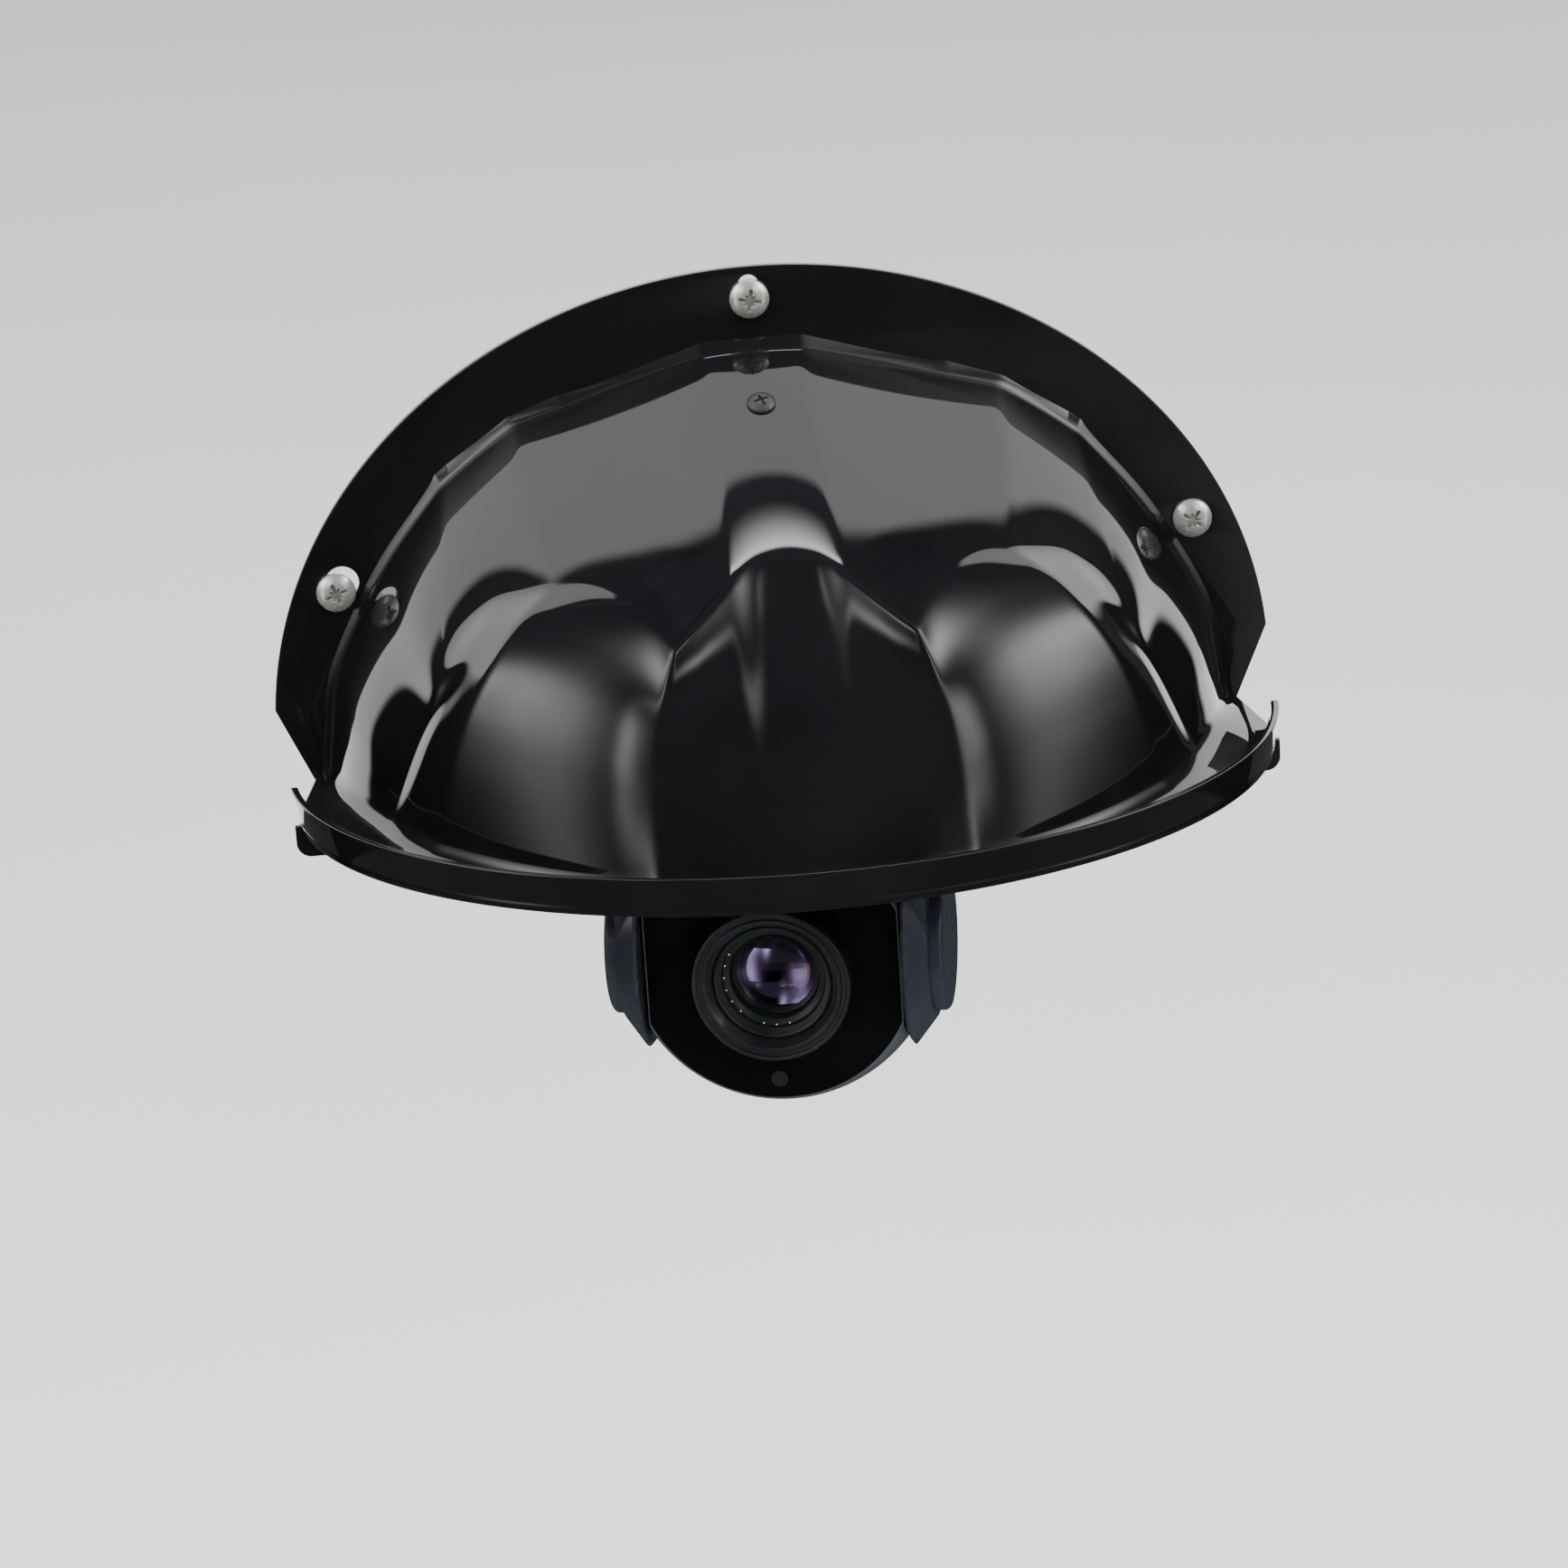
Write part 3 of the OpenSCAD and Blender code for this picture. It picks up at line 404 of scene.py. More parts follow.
# ---------- hood ----------

FLANGE_T = 2.4
DOME_WALL = 2.2
CROWN_Z = 101.4
# Corners of the dome's right half, in mm. V lie along the wall from the crown to the foot, B along the
# foot from the front to the side, and F, G and H where the crown's panels end
V1, V2, V3 = (11.2, 0, CROWN_Z), (58.5, 0, 87.4), (75.9, 0, 74.6)
V4, V5 = (104.5, 0, 29.8), (109, 0, FLANGE_T)
F1 = (12.4, -70.5, 64.5)
B1, B2, B3 = (37.3, -106, FLANGE_T), (85.5, -69, FLANGE_T), (97, -47.5, FLANGE_T)


def plane_through(a, b, c):
    """Plane through three points, as its normal and its distance along the normal."""
    a, b, c = Vector(a), Vector(b), Vector(c)
    normal = (b - a).cross(c - a).normalized()
    return normal, normal.dot(a)


def on_plane(plane, x, z):
    """Point of a plane at a place seen from the front."""
    normal, distance = plane
    return (x, (distance - normal.x * x - normal.z * z) / normal.y, z)


def along_plane(plane, *places):
    """Points of a plane at several places seen from the front."""
    return [on_plane(plane, x, z) for x, z in places]


def other_side(point):
    """The point's mirror image in the hood's middle plane."""
    x, y, z = point
    return (-x, y, z)


# The flat panels of the crown: roof strip, upper panel and the facet beside it
ROOF = plane_through(V1, other_side(V1), F1)
UPPER = plane_through(V1, V2, F1)
F2 = on_plane(UPPER, 28.2, 52.7)
G1 = on_plane(UPPER, 54.2, 60.6)
FACET = plane_through(V2, V3, G1)
H1 = on_plane(FACET, 79.1, 47.6)

# How far each edge of the dome's net is divided
N_TOP, N_SHOULDER, N_WALL, N_CORNER, N_FALL, N_SIDE = 20, 20, 40, 22, 56, 62

# Courses of the creases between the corners. The front half of the foot mirrors itself
ARCH_HALF = along_plane(ROOF, (4, 67.1), (8, 66.4))
FOOT_HALF = (19, -108.6, FLANGE_T)
EDGES = {
    "roof": [V1, F1],
    "shoulder": [F1, *along_plane(UPPER, (15.5, 62), (18.8, 59.4), (23.2, 56.1)), F2],
    "arch": [other_side(F1), *(other_side(point) for point in reversed(ARCH_HALF)),
             on_plane(ROOF, 0, 67.4), *ARCH_HALF, F1],
    "crest": [V2, G1],
    "arc": [F2, *along_plane(UPPER, (31.4, 56.2), (34.9, 59.0), (39.2, 60.8), (46.1, 61.6)), G1],
    "knee": [G1, *along_plane(FACET, (64.9, 57.3), (70.2, 54.3), (74.9, 50.9)), H1],
    "rib": [V3, H1],
    "front": [F2, (30.8, -87.3, 44.3), (32.9, -92.2, 36), (34.3, -96.3, 27), (35.4, -99.8, 18), B1],
    "gore": [G1, (62.6, -60.5, 54.8), (69.2, -67.2, 47.2), (75, -69.5, 37.6), (79.4, -70, 26.2),
             (82.6, -69.8, 14), B2],
    "corner": [H1, (81.7, -54, 39), (84.8, -53.2, 30.5), (88.6, -51.5, 22), (93, -49.5, 11.5), B3],
    "wall_top": [V1, V2],
    "wall_corner": [V2, V3],
    "wall_side": [V3, (92, 0, 53), V4, (107.5, 0, 15), V5],
    "foot_front": [other_side(B1), other_side(FOOT_HALF), (0, -109.5, FLANGE_T), FOOT_HALF, B1],
    "foot_gore": [B1, (50, -99.8, FLANGE_T), (62.8, -91.2, FLANGE_T), (74.8, -80.8, FLANGE_T), B2],
    "foot_corner": [B2, (92, -58.5, FLANGE_T), B3],
    "foot_side": [V5, (105, -25, FLANGE_T), B3],
    "wall_crown": [other_side(V1), V1],
}
COUNTS = {
    "roof": N_FALL - N_SHOULDER, "shoulder": N_SHOULDER, "arch": N_TOP, "crest": N_FALL, "arc": N_WALL,
    "knee": N_CORNER, "rib": N_FALL, "front": N_SIDE, "gore": N_SIDE, "corner": N_SIDE, "wall_top": N_WALL,
    "wall_corner": N_CORNER, "wall_side": N_SIDE, "foot_front": N_TOP + 2 * N_SHOULDER,
    "foot_gore": N_WALL, "foot_corner": N_CORNER, "foot_side": N_FALL, "wall_crown": N_TOP,
}
# How far each panel is swollen from its edges
SWELLS = {"upper": 0.3, "facet": 0.5, "side": 1.2, "gore": 2.6, "corner": 0.4, "roof": 0.4, "front": 2.2}
SMOOTHING_PASSES = 3

# The skirt's foot is half an ellipse about (0, -BRIM_MID), and its fillet rises SKIRT_H above the flange
SKIRT_A, SKIRT_B, BRIM_MID = 110.9, 89.2, 24.0
SKIRT_H, SKIRT_CURVE, SKIRT_FADE = 5.0, 2.6, 14.0
WALL_FILLET = 2.2
FILLET_CENTRE_Z, FILLET_SPREAD = 20, 0.75


def mirrored(points):
    """An array of points mirrored in the hood's middle plane."""
    return points * np.array([-1, 1, 1])


def coons(low, high, left, right, bulge):
    """Patch between four edges: low and high run with u, left and right with v. Bulge pushes it out."""
    n, m = len(low) - 1, len(left) - 1
    u = np.linspace(0, 1, n + 1)[None, :, None]
    v = np.linspace(0, 1, m + 1)[:, None, None]
    ruled_v = (1 - v) * low[None] + v * high[None]
    ruled_u = (1 - u) * left[:, None] + u * right[:, None]
    corners = ((1 - u) * (1 - v) * low[0] + u * (1 - v) * low[-1]
               + (1 - u) * v * high[0] + u * v * high[-1])
    patch = ruled_u + ruled_v - corners
    normal = np.cross(patch[:, -1] - patch[:, 0], (patch[-1] - patch[0]).mean(0))
    normal = normal.mean(0)
    normal /= np.linalg.norm(normal)
    middle_of_hood = np.array([0, -20, 20])
    if normal @ (patch.mean((0, 1)) - middle_of_hood) < 0:
        normal = -normal
    # A parabola along u and a flatter curve along v
    swell = bulge * (4 * u * (1 - u)) * (4 * v * (1 - v)) ** 0.75
    return patch + swell * normal


def dome_patches():
    """Every panel of the dome as a grid of points."""
    edge = {name: spline(points, COUNTS[name]) for name, points in EDGES.items()}
    fall = np.vstack([edge["roof"], edge["shoulder"][1:]])
    right = [
        coons(edge["wall_top"], edge["arc"], fall, edge["crest"], SWELLS["upper"]),
        coons(edge["wall_corner"], edge["knee"], edge["crest"], edge["rib"], SWELLS["facet"]),
        coons(edge["wall_side"], edge["corner"], edge["rib"], edge["foot_side"], SWELLS["side"]),
        coons(edge["arc"], edge["foot_gore"], edge["front"], edge["gore"], SWELLS["gore"]),
        coons(edge["knee"], edge["foot_corner"], edge["gore"], edge["corner"], SWELLS["corner"]),
    ]
    top = np.vstack([mirrored(edge["shoulder"])[::-1], edge["arch"][1:], edge["shoulder"][1:]])
    middle = [
        coons(edge["wall_crown"], edge["arch"], mirrored(edge["roof"]), edge["roof"], SWELLS["roof"]),
        coons(top, edge["foot_front"], mirrored(edge["front"]), edge["front"], SWELLS["front"]),
    ]
    return right + [mirrored(p) for p in right] + middle


def foot_outline(direction):
    """Distance from (0, -BRIM_MID), along a horizontal unit direction, to the skirt's foot."""
    dx, dy = direction
    return 1.0 / math.sqrt((dx / SKIRT_A) ** 2 + (dy / SKIRT_B) ** 2)


def flared(point):
    """Moves a point of the dome outwards near the brim and near the wall, in concave fillets."""
    x, y, z = point
    down = (SKIRT_H - (z - FLANGE_T)) / SKIRT_H
    if down > 0:
        down = min(down, 1.0)
        push = 1 - math.sqrt(max(0.0, 1 - down ** SKIRT_CURVE))
        off = Vector((x, min(0.0, y + BRIM_MID)))
        if off.length > 1:
            reach = foot_outline(off.normalized())
            gap = max(0.0, reach - off.length)
            fade = min(1.0, max(0.0, -y / SKIRT_FADE))
            shift = off.normalized() * gap * push * fade
            x, y = x + shift.x, y + shift.y
    near = (WALL_FILLET + FLANGE_T + y) / WALL_FILLET
    if near > 0:
        near = min(near, 1.0)
        push = (1 - math.sqrt(max(0.0, 1 - near ** 2))) * WALL_FILLET
        out = Vector((x * FILLET_SPREAD, max(0, z - FILLET_CENTRE_Z)))
        if out.length > 1:
            out.normalize()
            x, z = x + out.x * push, z + out.y * push
    return Vector((x, y, z))


def dome_shell():
    """The dome's outer and inner skin and the rims between, and the points of the inner rim in mm."""
    work = bmesh.new()
    for patch in dome_patches():
        rows = [[work.verts.new(point) for point in row] for row in patch]
        for a, b in zip(rows, rows[1:]):
            for k in range(len(a) - 1):
                quad = []
                for vert in (a[k], a[k + 1], b[k + 1], b[k]):
                    if vert not in quad:
                        quad.append(vert)
                work.faces.new(quad)
    bmesh.ops.remove_doubles(work, verts=work.verts, dist=0.02)
    bmesh.ops.recalc_face_normals(work, faces=work.faces)
    # Rounds the creases: each point moves towards the mean of its neighbours
    for _ in range(SMOOTHING_PASSES):
        means = {}
        for vert in work.verts:
            if vert.is_boundary:
                continue
            near = [edge.other_vert(vert).co for edge in vert.link_edges]
            means[vert] = sum(near, Vector()) / len(near)
        for vert, mean in means.items():
            vert.co = vert.co.lerp(mean, 0.5)
    outer = [vert.co.copy() for vert in work.verts]
    work.verts.index_update()
    faces = [[vert.index for vert in face.verts] for face in work.faces]
    rim = [[v.index for v in edge.verts] for edge in work.edges if edge.is_boundary]
    work.free()
    # The inner skin is drawn in towards the middle of the hood's foot at the wall
    inner = [point * (1 - DOME_WALL / max(40.0, point.length)) for point in outer]
    outer = [flared(point) for point in outer]
    count = len(outer)
    verts = [point * MM for point in outer] + [point * MM for point in inner]
    shell = [list(face) for face in faces] + [[i + count for i in reversed(face)] for face in faces]
    shell += [[a, b, b + count, a + count] for a, b in rim]
    return verts, shell, [inner[a] for a, _ in rim] + [inner[b] for _, b in rim]


# The brim's edge is half an ellipse about (0, -BRIM_MID). The lip stops LIP_END before the wall
BRIM_A, BRIM_B = 118.4, 95.5
LIP_END, LIP_TOP = 31.6, 9.7
FLANGE_FOOT_X = 112.0


def brim_path(offset, count=150, whole=True):
    """Points along the brim's outline, moved outwards by offset, with the straight rear parts."""
    end = math.asin((LIP_END - BRIM_MID) / BRIM_B)
    points = []
    for i in range(count + 1):
        t = end + (math.pi - 2 * end) * i / count
        spot = Vector((BRIM_A * math.cos(t), -BRIM_MID - BRIM_B * math.sin(t)))
        normal = Vector((math.cos(t) / BRIM_A, -math.sin(t) / BRIM_B)).normalized()
        points.append(spot + normal * offset)
    if whole:
        rear = FLANGE_FOOT_X + offset
        points = [Vector((rear, 0))] + points + [Vector((-rear, 0))]
    return points


def sweep(section, paths):
    """Skin through copies of a section: paths[i] is the route of the section's point i."""
    stations = len(paths[0])
    width = len(section)
    verts, faces = [], []
    for s in range(stations):
        for i, (_, z) in enumerate(section):
            spot = paths[i][s]
            verts.append(Vector((spot.x, spot.y, z)) * MM)
    for s in range(stations - 1):
        for i in range(width):
            n = (i + 1) % width
            faces.append([s * width + i, s * width + n, (s + 1) * width + n, (s + 1) * width + i])
    faces.append(list(range(width)))
    faces.append([(stations - 1) * width + i for i in range(width)])
    return verts, faces


def brim_shapes():
    """Floor of the gutter with a rounded underside edge, and the lip that leans outwards."""
    floor_section = rounded([(-26, 0.0, 0), (-1.3, 0.0, 0.7), (-1.0, 2.3, 0.3), (-26, 2.35, 0)], 4)
    floor = sweep(floor_section, [brim_path(p.x) for p in floor_section])
    lip_section = rounded([
        (-4.6, 1.0, 0), (-1.4, 0.02, 0.8), (0.0, 8.9, 4.0), (0.15, LIP_TOP, 0.75), (-1.75, LIP_TOP, 0.75),
        (-2.9, 2.4, 2.6), (-6.2, 2.3, 0),
    ], 6)
    lip = sweep(lip_section, [brim_path(p.x, whole=False) for p in lip_section])
    return floor, lip


def tab_shapes():
    """Tab under each end of the lip, with its outer lower corner rounded off."""
    height, width, corner, thick = 7.3, 9.0, 3.5, 2.2
    edge = 0.35
    right = BRIM_A - 0.6
    outline = [(right - width, 0.5), (right - width, -height)]
    arc_steps = 8
    for k in range(arc_steps + 1):
        a = math.radians(-90 + 90 * k / arc_steps)
        outline.append((right - corner + corner * math.cos(a), -height + corner + corner * math.sin(a)))
    outline.append((right, 0.5))
    shapes = []
    for side in (1, -1):
        verts, faces, rings = [], [], []
        centre = Vector((right - width / 2, -height / 2))
        for depth, shrink in ((0, 0.94), (edge, 1.0), (thick - edge, 1.0), (thick, 0.94)):
            start = len(verts)
            for x, z in outline:
                x, z = centre.x + (x - centre.x) * shrink, centre.y + (z - centre.y) * shrink
                verts.append(Vector((side * x, -LIP_END - depth, z)) * MM)
            rings.append(list(range(start, len(verts))))
        for a, b in zip(rings, rings[1:]):
            for k in range(len(a)):
                n = (k + 1) % len(a)
                faces.append([a[k], a[n], b[n], b[k]])
        faces += [rings[0], rings[-1]]
        shapes.append((verts, faces))
    return shapes


# The flange's outline is part of an ellipse about (0, FLANGE_MID), cut straight below FLANGE_CUT
FLANGE_A, FLANGE_B, FLANGE_MID, FLANGE_CUT = 120.6, 108.0, 11.3, 19.0
SCREW_HOLE_R, SCREW_HEAD_R = 2.75, 4.75
SCREWS = {"right": (103.2, 47.8), "left": (-103.2, 47.8), "top": (0.0, 111.6)}
# Round parts of each keyhole: offset from its screw, and radius
KEYHOLES = {
    "right": [(-0.4, 0.4, 4.0), (0, 0, SCREW_HOLE_R)],
    "left": [(1.6, 2.0, 4.0), (0, 0, SCREW_HOLE_R)],
    "top": [(0, 0, 4.0)] + [(0, 0.4 * k, 2.4) for k in range(9)],
}


def keyhole_outline(name, count=72):
    """Outline of the union of a keyhole's circles, seen from inside its largest one."""
    circles = KEYHOLES[name]
    cx, cy, _ = circles[0]
    sx, sy = SCREWS[name]
    points = []
    for k in range(count):
        a = 2 * math.pi * k / count
        d = Vector((math.cos(a), math.sin(a)))
        reach = 0
        for x, y, r in circles:
            off = Vector((cx - x, cy - y))
            b = off.dot(d)
            c = off.length_squared - r * r
            if b * b - c > 0:
                reach = max(reach, -b + math.sqrt(b * b - c))
        points.append(Vector((sx + cx, sy + cy)) + d * reach)
    return points


def flange_shape(opening):
    """The flange as a plate with a small round on its edges, from its outline and holes."""
    foot = math.asin((FLANGE_CUT - FLANGE_MID) / FLANGE_B)
    steps = 160
    outer = [Vector((FLANGE_FOOT_X, 0))]
    for i in range(steps + 1):
        t = foot + (math.pi - 2 * foot) * i / steps
        outer.append(Vector((FLANGE_A * math.cos(t), FLANGE_MID + FLANGE_B * math.sin(t))))
    outer.append(Vector((-FLANGE_FOOT_X, 0)))
    outline = outer + opening
    round_r = 0.45
    data = bpy.data.curves.new("flange_outline", "CURVE")
    data.dimensions = "2D"
    data.fill_mode = "BOTH"
    data.extrude = (FLANGE_T / 2 - round_r) * MM
    data.bevel_depth = round_r * MM
    data.bevel_resolution = 3
    data.offset = -round_r * MM
    for loop in [outline] + [keyhole_outline(name) for name in KEYHOLES]:
        path = data.splines.new("POLY")
        path.points.add(len(loop) - 1)
        for point, spot in zip(path.points, loop):
            point.co = (spot.x * MM, spot.y * MM, 0, 1)
        path.use_cyclic_u = True
    curve = bpy.data.objects.new("flange_outline", data)
    bpy.context.scene.collection.objects.link(curve)
    bpy.context.view_layer.update()
    mesh = bpy.data.meshes.new_from_object(curve.evaluated_get(bpy.context.evaluated_depsgraph_get()))
    stand = Matrix.Translation((0, -FLANGE_T / 2 * MM, 0)) @ TO_FRONT
    verts = [stand @ v.co for v in mesh.vertices]
    faces = [list(p.vertices) for p in mesh.polygons]
    bpy.data.objects.remove(curve)
    bpy.data.curves.remove(data)
    bpy.data.meshes.remove(mesh)
    return verts, faces


def make_hood():
    """The dome with its brim, and the flange, whose opening follows the dome's inner rim."""
    verts, faces, rim = dome_shell()
    foot_x = 104.0
    at_wall = [p for p in rim if p.y > -0.05 and p.z > 2.0]
    arch = sorted(at_wall, key=lambda p: math.atan2(p.z, -p.x))
    opening = [Vector((-foot_x, 0)), *(Vector((p.x, p.z)) for p in arch[::3]), Vector((foot_x, 0))]
    floor, lip = brim_shapes()
    body = join_shapes((verts, faces), floor, lip, *tab_shapes())
    piece("hood_shell", *body, "hood_gloss", "mount", ["hood"], sharp=42)
    piece("hood_flange", *flange_shape(opening), "hood_gloss", "mount", sharp=42)


# ---------- fasteners ----------

def pan_head(radius, height, recess, lobes, shank_r, shank_l, rings=30, steps=120):
    """Pan head screw along +Z. Each lobe of its recess, a (length, width, turn), repeats four times."""
    verts, faces = [], []

    def top(r, a):
        """Height of the head at a polar place: a flattened dome less the recess."""
        z = height * (1 - 0.62 * (r / radius) ** 3.2)
        wing = 0.0
        for length, width, turn in lobes:
            for k in range(4):
                b = a - turn - k * math.pi / 2
                along, across = r * math.cos(b), abs(r * math.sin(b))
                if along > -0.01:
                    side = (width * (1 - 0.35 * along / length) - across) / 0.22
                    tip = (length - along) / 0.3
                    wing = max(wing, min(1.0, side, tip))
        return z - recess * max(0.0, wing)

    for i in range(rings + 1):
        r = radius * 0.985 * i / rings
        for k in range(steps):
            a = 2 * math.pi * k / steps
            verts.append(Vector((r * math.cos(a), r * math.sin(a), top(r, a))) * MM)
    skirt = [(radius, height * 0.3), (radius, 0.15), (radius - 0.15, 0), (shank_r, 0),
             (shank_r, -shank_l + 1.5), (shank_r * 0.3, -shank_l)]
    for r, z in skirt:
        for k in range(steps):
            a = 2 * math.pi * k / steps
            verts.append(Vector((r * math.cos(a), r * math.sin(a), z)) * MM)
    total = rings + len(skirt)
    for i in range(total):
        for k in range(steps):
            n = (k + 1) % steps
            faces.append([i * steps + k, i * steps + n, (i + 1) * steps + n, (i + 1) * steps + k])
    faces.append([total * steps + k for k in range(steps)])
    return verts, faces


def make_wall_screws():
    """Three screws, each stopped at its own turn, with a four-pointed star and short wings between."""
    lobes = [(2.75, 0.62, 0.0), (1.75, 0.36, math.pi / 4)]
    shapes = []
    for name, turn in (("left", 20), ("right", 55), ("top", -10)):
        x, z = SCREWS[name]
        stand = (Matrix.Translation(Vector((x, -FLANGE_T, z)) * MM) @ TO_FRONT
                 @ Matrix.Rotation(math.radians(turn), 4, "Z"))
        shapes.append(moved(pan_head(SCREW_HEAD_R, 3.0, 1.5, lobes, 2.4, 24), stand))
    piece("wall_screw_set", *join_shapes(*shapes), "stainless", "mount", ["wall_screws"], sharp=50)


def make_roof_screw():
    """Small screw square to the roof, a run down from the crown."""
    fall = math.atan2(36, 70)
    run = 23.3
    place = Vector((0, -run * math.cos(fall), CROWN_Z - run * math.sin(fall)))
    stand = Matrix.Translation(place * MM) @ Matrix.Rotation(fall, 4, "X")
    lobes = [(1.9, 0.42, 0.3)]
    shape = moved(pan_head(3.4, 1.8, 0.9, lobes, 2.0, 11, 20, 72), stand)
    piece("roof_screw_head", *shape, "black_steel", "mount", ["roof_screw"], sharp=50)


# ---------- camera head ----------

# Distances along the lens axis from the tilt axis, and radii, in mm
PLATE_BACK, PLATE_FRONT, BEZEL_FRONT = 15.4, 17.4, 22.5
BARREL_R, BARREL_BORE_R, GLASS_R = 14.2, 12.4, 10.4


def make_bezel():
    """Stepped ring that holds the front plate round the lens."""
    front = BEZEL_FRONT
    outline = rounded([
        (17.6, PLATE_BACK, 0), (17.6, PLATE_FRONT, 0), (18.9, PLATE_FRONT + 0.05, 0.3),
        (18.8, front - 0.1, 0.7), (17.9, front, 0.35), (17.6, front - 0.7, 0.2), (16.8, front - 0.9, 0.2),
        (16.6, front - 0.35, 0.2), (15.9, front - 0.5, 0.3), (14.5, front - 2.4, 0.3),
        (BARREL_R, front - 3.4, 0.2), (BARREL_R, PLATE_BACK, 0),
    ], 4)
    piece("lens_bezel_ring", *moved(lathe(outline, 144), LENS_FRAME), "bezel_plastic", "head",
          ["lens_bezel"], sharp=60)


def make_barrel():
    """Tapered barrel with fine light-trap ridges."""
    corners = [(BARREL_BORE_R, -5.0, 0), (BARREL_R, -5.0, 0), (BARREL_R, 19.2, 0), (13.7, 19.8, 0.2)]
    ridges = 6
    for k in range(ridges):
        t = k / ridges
        r, z = 13.5 - 1.1 * t, 19.6 - 2.4 * t
        corners += [(r, z, 0.05), (r - 0.16, z - 0.05, 0.05), (r - 0.1, z - 0.3, 0.05)]
    corners += [(BARREL_BORE_R, 17.1, 0)]
    outline = rounded(corners, 2)
    piece("lens_barrel_tube", *moved(lathe(outline, 144), LENS_FRAME), "lens_black", "head",
          ["lens_barrel"], sharp=50)


def make_name_ring():
    """Sloping ring that holds the front element in the barrel."""
    outline = rounded([
        (GLASS_R, 13.2, 0), (BARREL_BORE_R, 13.2, 0), (BARREL_BORE_R, 16.4, 0.15), (11.9, 16.5, 0.15),
        (10.7, 15.6, 0.2),
    ], 3)
    shape = moved(lathe(outline, 144), LENS_FRAME)
    piece("lens_name_ring", *shape, "lens_black", "head", ["name_ring"], sharp=50)


def dome_cap(radius, sphere_r, height, thick, rings=14, steps=96):
    """Closed lens element: a spherical front that bulges to height, over a hollow conical back."""
    outline = []
    for i in range(rings + 1):
        r = radius * i / rings
        outline.append((r, height + math.sqrt(sphere_r ** 2 - r ** 2) - sphere_r))
    outline.append((radius, height + math.sqrt(sphere_r ** 2 - radius ** 2) - sphere_r - thick))
    outline.append((0, height - thick - 0.4))
    return lathe(outline, steps)


def hollow_element(radius, sphere_r, edge_z, thick, rings=12, steps=96):
    """Closed lens element with a hollow front, whose edge lies at edge_z."""
    drop = sphere_r - math.sqrt(sphere_r ** 2 - radius ** 2)
    outline = []
    for i in range(rings + 1):
        r = radius * i / rings
        outline.append((r, edge_z - drop + sphere_r - math.sqrt(sphere_r ** 2 - r ** 2)))
    outline += [(radius, edge_z - drop - thick), (0, edge_z - drop - thick)]
    return lathe(outline, steps)


def make_glass():
    """Front element, the one behind it, the element that zooms and the filter behind that."""
    front = dome_cap(GLASS_R, 16.4, 16.9, 1.2)
    piece("lens_front_element", *moved(front, LENS_FRAME), "coated_glass", "head", ["front_glass"])
    second = hollow_element(8.65, 22.0, 11.85, 0.8)
    piece("lens_second_element", *moved(second, LENS_FRAME), "coated_glass", "head", finish="glass_pink")
    moving = dome_cap(6.8, 12.6, 3.0, 1.2)
    piece("zoom_element", *moved(moving, LENS_FRAME), "coated_glass", "zoom_group", ["zoom_glass"],
          finish="glass_blue")
    stop = lathe(rounded([(0, -1.6, 0), (2.2, -1.6, 0.1), (2.2, -1.0, 0.1), (0, -0.8, 0)], 2), 48)
    piece("filter_window", *moved(stop, LENS_FRAME), "coated_glass", "zoom_group", finish="glass_red")


def make_inner_rings():
    """Stepped holder of the second element, ahead of the zoom's travel, with thin bright turned edges."""
    corners = [(12.35, 13.1, 0), (10.3, 13.1, 0.1), (9.3, 12.3, 0.1), (8.7, 11.9, 0.05), (8.7, 9.3, 0)]
    for k in range(3):
        r, z = 8.3 - 0.42 * k, 9.25 - 0.36 * k
        corners += [(r, z, 0.04), (r - 0.05, z - 0.3, 0.04)]
    corners += [(7.4, 8.2, 0.04), (9.3, 8.2, 0), (9.3, 11.9, 0), (12.35, 11.9, 0)]
    shape = lathe(rounded(corners, 2), 120)
    piece("lens_inner_holder", *moved(shape, LENS_FRAME), "lens_black", "head", sharp=50)
    bright = []
    edge_r = 0.12
    for r, z in ((7.38, 8.45), (10.1, 13.2)):
        angles = [2 * math.pi * k / 8 for k in range(8)]
        section = [(r + edge_r * math.cos(a), z + edge_r * math.sin(a)) for a in angles]
        bright.append(lathe(section, 120))
    piece("lens_bright_edges", *moved(join_shapes(*bright), LENS_FRAME), "lens_black", "head",
          finish="inner_steel")


def make_ring_marks():
    """Small raised dots round the front ring, in place of lettering."""
    shapes = []
    for turn in list(range(150, 226, 15)) + list(range(255, 300, 15)):
        stand = (Matrix.Rotation(math.radians(turn), 4, "Z")
                 @ Matrix.Translation(Vector((11.9, 0, 16.47)) * MM))
        dot = lathe([(0, 0), (0.2, 0), (0.2, 0.06), (0.12, 0.1), (0, 0.11)], 16)
        shapes.append(moved(dot, LENS_FRAME @ stand))
    piece("ring_marks", *join_shapes(*shapes), "pulley_nylon", "head", sharp=50)


# ---------- carried nodes ----------

